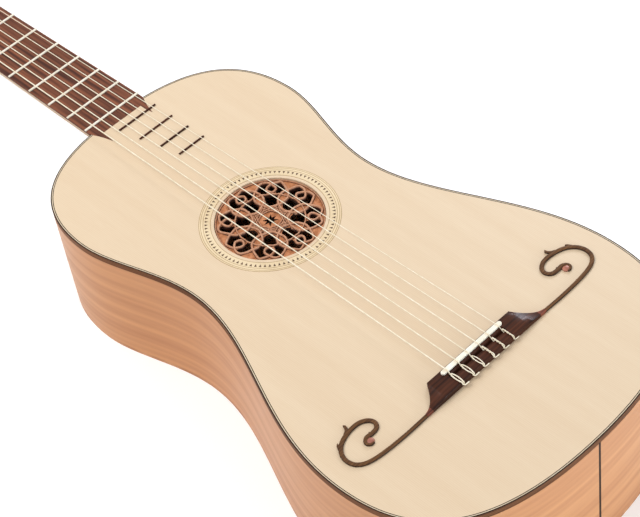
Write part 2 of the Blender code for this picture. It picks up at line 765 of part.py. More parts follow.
def make_nut():
    low = NECK_FACE + GAP
    profile = [
        (NUT_Y, low),
        (NECK_END_Y, low),
        (NECK_END_Y, NUT_RISE * 0.35),
        (NECK_END_Y - NUT_THICKNESS * 0.35, NUT_RISE * 0.85),
        (NUT_Y + NUT_THICKNESS * 0.3, NUT_RISE),
        (NUT_Y, NUT_RISE),
    ]
    nut = piece("nut", rail("nut", profile, FRETBOARD_WIDTH_AT_NUT), BONE)
    slots = []
    for number, diameter in enumerate(STRING_DIAMETERS):
        x = string_x(number, STRING_SPACING_AT_NUT)
        width = diameter / 2 + GAP
        slots.append([
            (x - width, NUT_Y - 0.002),
            (x + width, NUT_Y - 0.002),
            (x + width, NECK_END_Y + 0.002),
            (x - width, NECK_END_Y + 0.002),
        ])
    combs = plate("nut_slot_cutter", slots, NUT_RISE + 0.002, NUT_RISE - NUT_SLOT_DEPTH)
    boolean(nut, cutter("nut_slot_cutter", combs), "DIFFERENCE")


def head_loop():
    """Head outline in the head's own frame, from the nut end up the treble side and back."""
    start = FRETBOARD_WIDTH_AT_NUT / 2
    wide = PEG_OFFSETS[0] + PEG_BACK_RADIUS + 0.0045
    length = HEAD_LENGTH
    shape = [
        (start, 0),
        (start + 0.2 * (wide - start), 0.05 * length),
        (wide, 0.15 * length),
        (0.985 * wide, 0.38 * length),
        (0.93 * wide, 0.60 * length),
        (1.02 * wide, 0.78 * length),
        (1.10 * wide, 0.87 * length),
        (0.90 * wide, 0.94 * length),
        (0.55 * wide, 0.945 * length),
        (0.30 * wide, 0.985 * length),
        (0, length),
    ]
    half = smooth(shape, 2)
    return half + mirrored(half)[1:]


def slant_near_end(mesh):
    """Turns the face at the nut square to the neck instead of to the head."""
    for vertex in mesh.vertices:
        if vertex.co.y < 1e-5:
            vertex.co.y = -vertex.co.z * math.tan(HEAD_ANGLE)


def peg_places():
    """(x, y) of the pegs in the head's frame, in string order from the bass side."""
    rows = [FIRST_PEG_FROM_NUT + PEG_PITCH * k for k in range(len(PEG_OFFSETS))]
    bass = [(-x, y) for x, y in zip(PEG_OFFSETS, rows)]
    return bass + [(-x, y) for x, y in reversed(bass)]


def make_head():
    veneer = plate("head_veneer", [head_loop()], 0, -VENEER_THICKNESS)
    head = plate("head", [head_loop()], -(VENEER_THICKNESS + GAP), -HEAD_BACK)
    slant_near_end(veneer)
    slant_near_end(head)
    holes = [circle(PEG_BACK_RADIUS + GAP, place, PEG_STEPS) for place in peg_places()]
    drill = cutter("peg_hole_cutter", plate("peg_hole_cutter", holes, 0.01, -0.03), head_frame)
    for name, mesh, finish in (("head_veneer", veneer, ROSEWOOD), ("head", head, MAPLE)):
        boolean(piece(name, mesh, finish, head_frame), drill, "DIFFERENCE")


def peg_mesh():
    """A friction peg: round shank and collar from a Screw, with a flat oval grip joined on."""
    back = -HEAD_BACK - GAP
    collar_end = back - PEG_COLLAR_LENGTH
    waist_end = collar_end - PEG_WAIST_LENGTH
    radius = PEG_GRIP_LENGTH / 2
    profile = [
        (0, PEG_FRONT_LENGTH + 0.3 * PEG_FRONT_RADIUS),
        (0.7 * PEG_FRONT_RADIUS, PEG_FRONT_LENGTH),
        (PEG_FRONT_RADIUS, PEG_FRONT_LENGTH - 0.3 * PEG_FRONT_RADIUS),
        (PEG_FRONT_RADIUS, 0),
        (PEG_BACK_RADIUS, back),
        (PEG_COLLAR_RADIUS, back - 0.15 * PEG_COLLAR_LENGTH),
        (PEG_COLLAR_RADIUS, back - 0.65 * PEG_COLLAR_LENGTH),
        (PEG_WAIST_RADIUS, collar_end),
        (PEG_WAIST_RADIUS, waist_end - 0.25 * radius),
        (0, waist_end - 0.4 * radius),
    ]
    mesh = bpy.data.meshes.new("peg_profile")
    edges = [(i, i + 1) for i in range(len(profile) - 1)]
    mesh.from_pydata([(x, 0, z) for x, z in profile], edges, [])
    shank = bpy.data.objects.new("peg_shank", mesh)
    cutters.objects.link(shank)
    screw = shank.modifiers.new("turned", "SCREW")
    screw.steps = screw.render_steps = PEG_STEPS
    screw.use_merge_vertices = True
    screw.merge_threshold = 1e-5
    grip_mesh = bpy.data.meshes.new("peg_grip")
    work = bmesh.new()
    bmesh.ops.create_uvsphere(work, u_segments=PEG_STEPS, v_segments=6, radius=1)
    size = Vector((PEG_GRIP_WIDTH / 2, PEG_GRIP_THICKNESS / 2, radius))
    bmesh.ops.scale(work, vec=size, verts=work.verts)
    bmesh.ops.translate(work, vec=(0, 0, waist_end - 0.85 * radius), verts=work.verts)
    work.to_mesh(grip_mesh)
    work.free()
    grip = cutter("peg_grip_tool", grip_mesh, None)
    boolean(shank, grip, "UNION")
    bpy.context.view_layer.update()
    graph = bpy.context.evaluated_depsgraph_get()
    made = bpy.data.meshes.new_from_object(shank.evaluated_get(graph))
    bpy.data.objects.remove(shank)
    bpy.data.objects.remove(grip)
    return made


def make_pegs():
    shared = peg_mesh()
    for number, (x, y) in enumerate(peg_places()):
        piece(f"peg_{number + 1}", shared, PEG_WOOD, head_frame, Matrix.Translation((x, y, 0)))


# Bridge, saddle and scrolls


def make_bridge():
    half = BRIDGE_FLAT_LENGTH / 2
    stations = []
    for u in (1.0, 0.75, 0.5, 0.3, 0.15, 0.0):
        left = 1 - u
        front = BRIDGE_TIP_WIDTH + (BRIDGE_WIDTH - BRIDGE_TIP_WIDTH) * left ** 1.8
        height = BRIDGE_TIP_HEIGHT + (BRIDGE_HEIGHT - BRIDGE_TIP_HEIGHT) * left ** 2.2
        stations.append((half + BRIDGE_END_LENGTH * u, front, height))
    sections = []
    for x, front, height in [*stations, *[(-x, f, h) for x, f, h in reversed(stations)]]:
        soft = 0.2 * min(front, height)
        sections.append([
            (x, -BRIDGE_REAR, GAP),
            (x, front - BRIDGE_REAR, GAP),
            (x, front - BRIDGE_REAR, height - soft),
            (x, front - BRIDGE_REAR - soft, height),
            (x, soft - BRIDGE_REAR, height),
            (x, -BRIDGE_REAR, height - soft),
        ])
    bridge = piece("bridge", loft("bridge", sections), DARK_WOOD)
    slot_half = SADDLE_THICKNESS / 2 + GAP
    slope_start = slot_half + 0.0005
    trough = [
        (-slope_start, BRIDGE_HEIGHT + 0.001),
        (-slope_start, BRIDGE_HEIGHT - 0.0002),
        (-(slope_start + TROUGH_REAR) / 2, BRIDGE_HEIGHT / 2),
        (-(slope_start + TROUGH_REAR) / 2, TROUGH_FLOOR),
        (-TROUGH_REAR, TROUGH_FLOOR),
        (-TROUGH_REAR, BRIDGE_HEIGHT + 0.001),
    ]
    boolean(bridge, cutter("trough_cutter", rail("trough_cutter", trough, TROUGH_LENGTH)), "DIFFERENCE")
    slot = [
        (-slot_half, SADDLE_SLOT_FLOOR - GAP),
        (slot_half, SADDLE_SLOT_FLOOR - GAP),
        (slot_half, BRIDGE_HEIGHT + 0.001),
        (-slot_half, BRIDGE_HEIGHT + 0.001),
    ]
    slot_mesh = rail("saddle_slot_cutter", slot, SADDLE_LENGTH + 2 * GAP)
    boolean(bridge, cutter("saddle_slot_cutter", slot_mesh), "DIFFERENCE")
    drill = bmesh.new()
    for number, diameter in enumerate(STRING_DIAMETERS):
        place = Matrix.Translation((string_x(number, STRING_SPACING_AT_SADDLE), -BRIDGE_REAR, TIE_HOLE_HEIGHT))
        length = 2 * (BRIDGE_REAR - TROUGH_REAR) + 0.001
        radius = diameter / 2 + GAP
        bmesh.ops.create_cone(
            drill, cap_ends=True, segments=8, radius1=radius, radius2=radius, depth=length,
            matrix=place @ Matrix.Rotation(math.pi / 2, 4, "X"),
        )
    drill_mesh = bpy.data.meshes.new("tie_hole_cutter")
    drill.to_mesh(drill_mesh)
    drill.free()
    boolean(bridge, cutter("tie_hole_cutter", drill_mesh), "DIFFERENCE")


def make_saddle():
    half = SADDLE_LENGTH / 2 - SADDLE_THICKNESS / 2
    end = [
        (half + SADDLE_THICKNESS / 2 * math.cos(a), SADDLE_THICKNESS / 2 * math.sin(a))
        for a in (math.radians(angle) for angle in range(-90, 91, 30))
    ]
    loop = end + [(-x, y) for x, y in reversed(end)]
    saddle = piece("saddle", plate("saddle", [loop], SADDLE_TOP, SADDLE_SLOT_FLOOR), BONE)
    bevel(saddle, SADDLE_EDGE, 2, 50)


def scroll_path():
    """Middle line of the treble scroll, from the bridge's tip round the curl to its bud."""
    start = BRIDGE_FLAT_LENGTH / 2 + BRIDGE_END_LENGTH + GAP
    low = SCROLL_STEM_WIDTH / 2 - BRIDGE_REAR
    return [
        (start, low), (0.0760, low - 0.0003), (0.0930, low + 0.0004), (0.1040, -0.0115), (0.1110, -0.0090),
        (0.1152, -0.0048), (0.1165, 0.0012), (0.1147, 0.0070), (0.1105, 0.0117), (0.1045, 0.0147),
        (0.0965, 0.0163), (0.0895, 0.0158), (0.0845, 0.0127), (0.0829, 0.0083), (0.0855, 0.0045),
        (0.0906, 0.0037), (0.0948, 0.0040), (0.0976, 0.0024),
    ]


def scroll_mesh(name, side):
    """A tapering ribbon along the path, joined with a round bud and two thorns."""
    line = smooth(scroll_path(), 2)
    left, right = [], []
    for k, point in enumerate(line):
        before = line[max(k - 1, 0)]
        after = line[min(k + 1, len(line) - 1)]
        along = (after - before).normalized()
        across = Vector((-along.y, along.x))
        share = k / (len(line) - 1)
        swell = math.sin(math.pi * min(1.0, max(0.0, (share - 0.35) / 0.65)))
        half = (SCROLL_STEM_WIDTH + (SCROLL_CURL_WIDTH - SCROLL_STEM_WIDTH) * swell) / 2
        left.append(point + across * half)
        right.append(point - across * half)
    top = GAP + SCROLL_HEIGHT
    shapes = [left + right[::-1], circle(SCROLL_BUD_RADIUS, SCROLL_BUD_MIDDLE, 14), *SCROLL_THORNS]
    parts = []
    for k, shape in enumerate(shapes):
        flat = [Vector((side * x, y)) for x, y in shape]
        inset = 0.00012 * (k > 0)
        parts.append(plate(f"{name}_{k}", [flat], top - inset, GAP + inset))
    body = piece(name, parts[0], SCROLL_WOOD)
    for k, mesh in enumerate(parts[1:], 1):
        boolean(body, cutter(f"{name}_tool_{k}", mesh), "UNION")


def make_scrolls():
    scroll_mesh("scroll_treble", 1)
    scroll_mesh("scroll_bass", -1)


# Strings: each is one cord from its tie at the bridge to the winding on its peg


def tie_route(x, radius, twisted):
    """Middle line of a string's tie, from its cut end behind the bridge to the saddle's crown.

    The bass ties lie open over the block; in the treble ties the two strands are twisted together.
    """
    over = BRIDGE_HEIGHT + GAP + radius
    behind = -(BRIDGE_REAR + GAP + radius)
    crossing = behind - 2 * radius - GAP
    close = 1.25 * radius
    rear = behind + 0.0009
    front = -(TROUGH_REAR - TIE_LOOP_REACH)
    run = front - rear
    if twisted:
        level = over + close
        near, far = [], []
        for k in range(4 * TIE_TWIST_TURNS + 1):
            angle = math.pi / 2 * k
            y = rear + run * k / (4 * TIE_TWIST_TURNS)
            near.append((x - close * math.cos(angle), y, level - close * math.sin(angle)))
            far.append((x + close * math.cos(angle), y, level + close * math.sin(angle)))
    else:
        level = over
        spread = ((0.0, close), (0.3, TIE_HALF_WIDTH), (0.7, TIE_HALF_WIDTH), (1.0, close))
        near = [(x - w, rear + share * run, level) for share, w in spread]
        far = [(x + w, rear + share * run, level) for share, w in spread]
    points = [
        (x + TIE_TAIL_LENGTH, crossing, over - 0.0020),
        (x + 0.5 * TIE_TAIL_LENGTH, crossing, over - 0.0020),
        (x + close, crossing, over - 0.0019),
        (x - 0.7 * close, behind - radius, over - 0.0014),
        (x - close, behind, over - 0.0004),
        *near,
        (x, front + 1.3 * close, level),
        *far[::-1],
        (x + close, behind, over - 0.0004),
        (x + 0.6 * close, behind - GAP / 2, over - 0.0015),
        (x, behind + 0.0002, TIE_HOLE_HEIGHT + 0.0001),
        (x, behind + 0.0012, TIE_HOLE_HEIGHT),
        (x, -TROUGH_REAR - 0.0012, TIE_HOLE_HEIGHT),
        (x, -TROUGH_REAR + 0.0016, TIE_HOLE_HEIGHT + 0.0004),
    ]
    crown = Vector((x, SADDLE_EDGE - SADDLE_THICKNESS / 2, SADDLE_TOP - SADDLE_EDGE))
    reach = SADDLE_EDGE + GAP + radius
    leans = [math.radians(angle) for angle in (42, 21, 0)]
    over_saddle = [crown + reach * Vector((0, -math.sin(lean), math.cos(lean))) for lean in leans]
    return smooth(points, 2) + over_saddle


def least_gap(points, diameter, apart):
    """Smallest clear distance between stretches of a tube that lie apart along it."""
    least = 1.0
    for i, first in enumerate(points):
        for second in points[i + apart:]:
            least = min(least, (first - second).length)
    return least - diameter


def winding_points(peg, string_start, diameter, side):
    """Middle line of the turns on a peg, and the place under them where the string meets the peg."""
    radius = PEG_FRONT_RADIUS + GAP + diameter / 2
    centre = Vector((peg[0], peg[1], WINDING_FROM_FACE - diameter - GAP))
    reach = centre - string_start
    flat = Vector((reach.x, reach.y))
    # The string touches the peg on the side that faces the head's middle
    heading = math.atan2(flat.y, flat.x) + side * math.asin(radius / flat.length)
    first = heading + side * math.pi / 2
    along = Vector((math.cos(heading), math.sin(heading), 0))

    def round_peg(angle, height):
        return centre + Vector((radius * math.cos(angle), radius * math.sin(angle), height))

    touch = round_peg(first, 0)
    low = diameter + GAP
    pitch = diameter + WINDING_LEAST_GAP
    start = round_peg(first, low)
    points = [start - along * diameter, start - along * diameter / 2]
    for k in range(WINDING_TURNS * WINDING_POINTS_PER_TURN + 1):
        turn = k / WINDING_POINTS_PER_TURN
        points.append(round_peg(first - side * 2 * math.pi * turn, low + pitch * turn))
    points.append(points[-1] + (points[-1] - points[-2]).normalized() * diameter)
    return points, touch


def make_strings():
    to_head = HEAD_FRAME.inverted()
    least = 1.0
    for number, diameter in enumerate(STRING_DIAMETERS):
        side = 1 if number >= len(STRING_DIAMETERS) / 2 else -1
        x = string_x(number, STRING_SPACING_AT_SADDLE)
        nut_x = string_x(number, STRING_SPACING_AT_NUT)
        rest = nut_rest(number)
        over_nut = Vector((nut_x, NUT_Y + 0.0004, rest))
        behind_nut = Vector((nut_x, NECK_END_Y - 0.3 * NUT_THICKNESS, rest - 0.0001))
        turns, touch = winding_points(peg_places()[number], to_head @ behind_nut, diameter, side)
        route = tie_route(x, diameter / 2, twisted=number >= OPEN_TIES)
        route += [over_nut, behind_nut, HEAD_FRAME @ touch]
        piece(f"string_{number + 1}", tube("string", route, diameter), NYLON)
        piece(f"winding_{number + 1}", tube("winding", turns, diameter), NYLON, head_frame)
        least = min(least, least_gap(turns, diameter, WINDING_POINTS_PER_TURN // 2))
    print(f"least gap within a winding: {least * 1000:.2f} mm")


make_soundboard()
make_edges()
make_ribs_and_back()
make_blocks()
make_bars()
make_rose()
make_neck()
make_fretboard()
make_nut()
make_head()
make_pegs()
make_bridge()
make_saddle()
make_scrolls()
make_strings()
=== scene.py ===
import json
import math

import bmesh
import bpy
from bpy.props import FloatProperty, FloatVectorProperty, IntProperty, PointerProperty
from mathutils import Matrix, Vector


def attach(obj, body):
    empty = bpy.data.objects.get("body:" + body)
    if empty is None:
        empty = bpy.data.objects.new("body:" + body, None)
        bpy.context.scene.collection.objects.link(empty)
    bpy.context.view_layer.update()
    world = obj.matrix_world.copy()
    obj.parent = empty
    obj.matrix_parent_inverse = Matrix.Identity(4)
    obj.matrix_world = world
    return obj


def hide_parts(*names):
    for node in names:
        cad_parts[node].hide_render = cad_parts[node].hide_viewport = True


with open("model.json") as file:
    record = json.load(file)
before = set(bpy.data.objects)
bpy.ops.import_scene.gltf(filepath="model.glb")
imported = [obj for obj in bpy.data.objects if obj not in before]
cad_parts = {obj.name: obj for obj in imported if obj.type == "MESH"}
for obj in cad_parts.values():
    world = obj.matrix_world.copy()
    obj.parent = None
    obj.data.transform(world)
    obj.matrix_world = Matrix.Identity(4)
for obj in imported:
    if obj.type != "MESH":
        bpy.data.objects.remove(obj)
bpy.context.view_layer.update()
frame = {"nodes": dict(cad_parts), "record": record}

bl_info = {
    "name": "Baroque guitar finish",
    "version": (1, 0, 0),
    "blender": (4, 5, 0),
    "location": "3D View > Sidebar > Guitar",
    "description": "Gives the guitar its finer shapes, woods, carving, inlay and strings",
    "category": "Object",
}

# The instrument's own frame has the soundboard's face at z = 0 and the saddle at the origin,
# with y running to the head. REST lays its sloping back level on the floor.
BODY_LENGTH = 0.4702
TOP_Y = 0.3625
TAIL_Y = TOP_Y - BODY_LENGTH
DEPTH_AT_NECK = 0.097
DEPTH_AT_TAIL = 0.111
BACK_SLOPE = (DEPTH_AT_TAIL - DEPTH_AT_NECK) / BODY_LENGTH
TILT = math.atan(BACK_SLOPE)
SADDLE_DEPTH = DEPTH_AT_NECK + BACK_SLOPE * TOP_Y
REST = Matrix.Translation((0, 0, SADDLE_DEPTH * math.cos(TILT))) @ Matrix.Rotation(-TILT, 4, "X")

# The outline passes through these (half width, y) at the neck, upper bout, waist, lower bout and tail.
# FULLNESS has, for each stretch between them, its curve's two handles as shares of its width or length.
BOUTS = (
    (0, TOP_Y), (0.1050, TAIL_Y + 0.3872), (0.0852, TAIL_Y + 0.2867), (0.1351, TAIL_Y + 0.1017), (0, TAIL_Y),
)
FULLNESS = ((0.55, 0.80), (0.31, 0.37), (0.33, 0.39), (0.55, 0.82))
OUTLINE_STEPS = 36

BOARD_THICKNESS = 0.0024
BACK_THICKNESS = 0.0030
RIB_THICKNESS = 0.0020
# Corners nearer to each other than this are welded
WELD = 1e-6
# Binding at the edge, with a pale and a dark line inside it
BINDING_WIDTH = 0.0010
BINDING_HEIGHT = 0.0050
PALE_LINE_WIDTH = 0.0005
DARK_LINE_WIDTH = 0.0006
# The binding's figure runs round the body's middle; a mean radius turns its angle into a length
MIDDLE_Y = 0.0963
MEAN_RADIUS = 0.2

ROSE_Y = 0.1926
HOLE_RADIUS = 0.0402
PETALS = 8
# A knife-cut strand: a ridge with a crest painted pale as light and sloping sides painted dark as shade, and
# the material of each face
RIDGED = ((1.35, -1), (1, -0.1), (0.62, 0.9), (-0.62, 0.9), (-1, -0.1), (-1.35, -1))
RIDGED_SLOTS = (0, 1, 1, 1, 0, 0)
# The inlaid ring starts at RING_START. Each band has the radius where it ends, and whether it's a brown line.
RING_START = 0.0425
RING_BANDS = (
    (0.0429, True), (0.0448, False), (0.0478, False), (0.0482, True), (0.0496, False), (0.0500, True),
    (0.0508, False), (0.0512, True),
)
# How far an inlay or a laid-on board stands above the soundboard
PROUD = 0.00008

NUT_Y = 0.6523
FRETBOARD_HALF_AT_BODY = 0.0265
FRETBOARD_HALF_AT_NUT = 0.0229
STRING_DIAMETERS = (0.0010, 0.0009, 0.0008, 0.0008, 0.0007, 0.0006)
# Subdividing a six-sided tube draws it in by this share of its radius
TUBE_SHRINKAGE = 0.14

HEAD_FRAME = Matrix.Translation((0, NUT_Y + 0.0051, 0)) @ Matrix.Rotation(-math.radians(7.5), 4, "X")
# Pegs as (distance from the head's middle line, distance along the head)
PEG_ROWS = ((0.0200, 0.038), (0.0180, 0.083), (0.0140, 0.128))
PEG_PLACES = [(-x, y) for x, y in PEG_ROWS] + [(x, y) for x, y in reversed(PEG_ROWS)]

# A peg's turned part as (radius, height) in millimetres, and its flat grip, in millimetres too
PEG_PROFILE = (
    (0, 15.0), (1.5, 14.7), (2.8, 13.9), (3.4, 12.8), (3.4, 0), (4.2, -15.6), (5.6, -15.8), (6.2, -16.4),
    (6.2, -17.0), (5.6, -17.6), (4.2, -17.9), (5.0, -18.3), (5.0, -18.8), (3.4, -19.4), (3.0, -21.5),
    (3.3, -24.0), (0, -26.0),
)
GRIP_STEPS = 18
GRIP_START = -22.5
GRIP_LENGTH = 19.6
GRIP_NECK_HALF = 3.0
GRIP_HALF_WIDTH = 10.0
GRIP_HALF_THICKNESS = 2.6
GRIP_TIP_HALF = 0.05
# The grip thins from its neck at this rate. Its second half follows a sine to a power, a little shortened.
GRIP_THINNING = 0.9
GRIP_POWER = 0.55
GRIP_SHORTENING = 1.02

# The photograph's camera, solved in the instrument's frame, with its focal length in pixels of the picture
CAMERA_PLACE = (-0.56667, -0.58054, 0.98183)
CAMERA_ROWS = Matrix((
    (0.703027, -0.702499, -0.110674),
    (-0.573964, -0.468596, -0.671553),
    (0.419904, 0.535643, -0.732644),
))
FOCAL_PIXELS = 1935.8
PICTURE_WIDTH = 640
SENSOR_WIDTH = 36
# How strongly the paper floor glows for the camera alone, to come out full white
FLOOR_LIFT = 0.25
# The photographed guitar's middle line lies aside of the solved frame by a hair, and is turned a little
SETTLE = Matrix.Translation((0.0004, 0, 0)) @ Matrix.Rotation(-0.0026, 4, "Z")

# At scale 1, a wave texture's bands lie this far apart
WAVE_SPACING = math.pi / 10
# The pores' spacing, how much they darken, and what is taken off all over for it
PORE_SPACING = 0.0006
PORE_DEPTH = 0.25
PORE_MIDDLE = 0.12
# How deep relief goes at full strength
BUMP_DEPTH = 0.0001

# Materials by name, filled by the first step
FINISH = {}


def linear(hex_colour):
    """An sRGB hex colour as the linear colour that a shader takes."""
    channels = [int(hex_colour[i:i + 2], 16) / 255 for i in (1, 3, 5)]
    return [c / 12.92 if c <= 0.04045 else ((c + 0.055) / 1.055) ** 2.4 for c in channels]


def mm(value):
    """Millimetres in metres."""
    return value / 1000


def tone(colour):
    """A hex colour made linear, or a colour property's linear value."""
    return linear(colour) if isinstance(colour, str) else list(colour)


# Shapes


def edge_point(s, inset):
    """Point of the treble side's outline moved inwards; s runs from 0 at the neck to 4 at the tail."""
    k = min(int(s), 3)
    t = s - k
    a, d = Vector(BOUTS[k]), Vector(BOUTS[k + 1])
    drop = a.y - d.y
    b = a + (Vector((FULLNESS[k][0] * d.x, 0)) if k == 0 else Vector((0, -FULLNESS[k][0] * drop)))
    c = d + (Vector((FULLNESS[k][1] * a.x, 0)) if k == 3 else Vector((0, FULLNESS[k][1] * drop)))
    place = a * (1 - t) ** 3 + 3 * b * (1 - t) ** 2 * t + 3 * c * (1 - t) * t * t + d * t ** 3
    along = (b - a) * (1 - t) ** 2 + 2 * (c - b) * (1 - t) * t + (d - c) * t * t
    return place + Vector((along.y, -along.x)).normalized() * inset


def half_outline(inset):
    """The treble side's outline from neck to tail."""
    return [edge_point(i / OUTLINE_STEPS, inset) for i in range(4 * OUTLINE_STEPS + 1)]


def outline(inset):
    """The whole outline, moved inwards by inset."""
    half = half_outline(inset)
    return half + [Vector((-p.x, p.y)) for p in half[-2:0:-1]]


def turns(count):
    """Angles in even steps round a full turn."""
    return [2 * math.pi * i / count for i in range(count)]


def circle(radius, steps=96):
    """Points of a circle round the rose's middle."""
    return [Vector((radius * math.cos(a), ROSE_Y + radius * math.sin(a))) for a in turns(steps)]


def back_face(y):
    """Level of the sloping back's outer face."""
    return -(DEPTH_AT_NECK + BACK_SLOPE * (TOP_Y - y))


def smooth(points, per_span, closed=False):
    """Points on a Catmull-Rom curve through every given point."""
    points = [Vector(p) for p in points]
    if closed:
        ends = [points[-1], *points, points[0], points[1]]
    else:
        ends = [2 * points[0] - points[1], *points, 2 * points[-1] - points[-2]]
    found = []
    for a, b, c, d in zip(ends, ends[1:], ends[2:], ends[3:]):
        for k in range(per_span):
            t = k / per_span
            bend = (2 * a - 5 * b + 4 * c - d) * t * t + (3 * b - a - 3 * c + d) * t ** 3
            found.append(0.5 * (2 * b + (c - a) * t + bend))
    return found if closed else found + [points[-1]]


def plate(work, loops, top, bottom):
    """Fills a flat outline and its holes, and extrudes it down from top to bottom.

    Either level is a height or a function of y.
    """
    edges = []
    for loop in loops:
        corners = [work.verts.new((p[0], p[1], 0)) for p in loop]
        edges += [work.edges.new(pair) for pair in zip(corners, corners[1:] + corners[:1])]
    faces = [f for f in bmesh.ops.triangle_fill(work, use_beauty=True, edges=edges)["geom"]
             if isinstance(f, bmesh.types.BMFace)]
    upper = {v for f in faces for v in f.verts}
    grown = bmesh.ops.extrude_face_region(work, geom=faces, use_keep_orig=True)["geom"]
    lower = [v for v in grown if isinstance(v, bmesh.types.BMVert)]
    for corners, level in ((upper, top), (lower, bottom)):
        for v in corners:
            v.co.z = level(v.co.y) if callable(level) else level


def lofted(work, sections, closed=False, slots=None):
    """Rolls a grid round a row of like sections, welds it, and fills its ends.

    slots gives the material of each step round a section.
    """
    rows = len(sections) if closed else len(sections) - 1
    around = len(sections[0])
    made = bmesh.ops.create_grid(work, x_segments=rows, y_segments=around, size=1)["verts"]
    if slots:
        for face in {f for v in made for f in v.link_faces}:
            face.material_index = slots[int((face.calc_center_median().y + 1) / 2 * around)]
    for v in made:
        row = round((v.co.x + 1) / 2 * rows) % len(sections)
        v.co = sections[row][round((v.co.y + 1) / 2 * around) % around]
    bmesh.ops.remove_doubles(work, verts=made, dist=WELD)
    if not closed:
        bmesh.ops.holes_fill(work, edges=[e for e in work.edges if e.is_boundary])


def rounded_section(sides, boxy):
    """Points round a unit ellipse, or a squarer shape where boxy is below 1."""
    return [[math.copysign(abs(v) ** boxy, v) for v in (math.cos(a), math.sin(a))] for a in turns(sides)]


def strand(work, points, half_width, half_height, section, slots=None, closed=False):
    """A strip of one section along a path, with its width in the level plane.

    half_width is a length, or a function of the share of the path that lies behind.
    """
    sections = []
    last = len(points) - 1
    for k, point in enumerate(points):
        before = points[k - 1] if closed or k else point
        after = points[(k + 1) % len(points)] if closed or k < last else point
        along = (after - before).normalized()
        side = Vector((0, 0, 1)).cross(along).normalized()
        up = along.cross(side)
        wide = half_width(k / last) if callable(half_width) else half_width
        sections.append([point + side * wide * x + up * half_height * z for x, z in section])
    lofted(work, sections, closed, slots)


def spun(work, profile, steps):
    """Spins an (r, z) profile round z, and welds its seam and poles."""
    corners = [work.verts.new((r, 0, z)) for r, z in profile]
    edges = [work.edges.new(pair) for pair in zip(corners, corners[1:])]
    bmesh.ops.spin(
        work, geom=corners + edges, axis=(0, 0, 1), cent=(0, 0, 0), angle=2 * math.pi, steps=steps,
        use_merge=True,
    )
    bmesh.ops.remove_doubles(work, verts=work.verts, dist=WELD)


def linked(name, data):
    """A new object in the scene, for a mesh, a lamp or a camera."""
    made = bpy.data.objects.new(name, data)
    bpy.context.scene.collection.objects.link(made)
    return made


def finished(name, work, finishes, nodes, body="guitar", place=REST, sharp=35):
    """Makes a piece that rides on a body and stands for its CAD nodes.

    finishes names the piece's materials in order. Edges bent by more than sharp degrees stay crisp.
    """
    bmesh.ops.recalc_face_normals(work, faces=work.faces)
    bmesh.ops.transform(work, matrix=place, verts=work.verts)
    mesh = bpy.data.meshes.new(name)
    work.to_mesh(mesh)
    work.free()
    mesh.shade_smooth()
    mesh.set_sharp_from_angle(angle=math.radians(sharp))
    for finish in finishes:
        mesh.materials.append(FINISH[finish])
    made = linked(name, mesh)
    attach(made, body)
    if nodes:
        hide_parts(*nodes)
    return made


def softened(made, width, segments, angle):
    """Rounds the edges that are bent by more than an angle in degrees."""
    modifier = made.modifiers.new("softened_edges", "BEVEL")
    modifier.width = width
    modifier.segments = segments
    modifier.limit_method = "ANGLE"
    modifier.angle_limit = math.radians(angle)


def grip_half_sizes(share):
    """A peg grip's half width and half thickness in millimetres, at a share of its length from the neck."""
    if share < 0.5:
        wide = GRIP_NECK_HALF + (GRIP_HALF_WIDTH - GRIP_NECK_HALF) * math.sin(math.pi * share)
        return wide, GRIP_NECK_HALF - GRIP_THINNING * share
    swell = math.sin(math.pi * min(1, share * GRIP_SHORTENING)) ** GRIP_POWER
    return max(GRIP_HALF_WIDTH * swell, GRIP_TIP_HALF), GRIP_HALF_THICKNESS * swell + GRIP_TIP_HALF


def welded_copy(node):
    """A CAD node's mesh with its loose triangles welded, and joined into four-sided faces."""
    work = bmesh.new()
    work.from_mesh(frame["nodes"][node].data)
    bmesh.ops.remove_doubles(work, verts=work.verts, dist=WELD)
    bmesh.ops.join_triangles(
        work, faces=work.faces, angle_face_threshold=math.radians(30), angle_shape_threshold=math.radians(60),
    )
    return work


# Finishes


def add(tree, kind, settings=None, inputs=None):
    """Adds a node with its settings, and its sockets' values or links."""
    made = tree.nodes.new(kind)
    for name, value in (settings or {}).items():
        setattr(made, name, value)
    for socket, value in (inputs or {}).items():
        if isinstance(value, bpy.types.NodeSocket):
            tree.links.new(value, made.inputs[socket])
        else:
            made.inputs[socket].default_value = value
    return made


def math_node(tree, operation, *values, **settings):
    """The result of a math node on values or links."""
    settings["operation"] = operation
    return add(tree, "ShaderNodeMath", settings, dict(enumerate(values))).outputs[0]


def new_finish(name, roughness, **sockets):
    """A material, its tree and its shader, with values that hold all over set on the shader itself."""
    made = bpy.data.materials.new(name)
    made.use_nodes = True
    shader = made.node_tree.nodes["Principled BSDF"]
    shader.inputs["Roughness"].default_value = roughness
    for socket, value in sockets.items():
        shader.inputs[socket.replace("_", " ")].default_value = value
    return made, made.node_tree, shader


def noise(tree, coords, size, detail):
    """A noise texture whose patches are about a given size."""
    inputs = {"Vector": coords, "Scale": 1 / size, "Detail": detail}
    return add(tree, "ShaderNodeTexNoise", inputs=inputs).outputs["Fac"]


def ranged(tree, value, low, high, **limits):
    """A value spread from low to high; limits says which stretch of it counts."""
    inputs = {"Value": value, "To Min": low, "To Max": high}
    inputs.update({name.replace("_", " "): limit for name, limit in limits.items()})
    return add(tree, "ShaderNodeMapRange", inputs=inputs).outputs[0]


def relief(tree, height, strength, shader):
    """Raises and sinks the surface with a value."""
    inputs = {"Height": height, "Strength": strength, "Distance": BUMP_DEPTH}
    bump = add(tree, "ShaderNodeBump", inputs=inputs)
    tree.links.new(bump.outputs["Normal"], shader.inputs["Normal"])


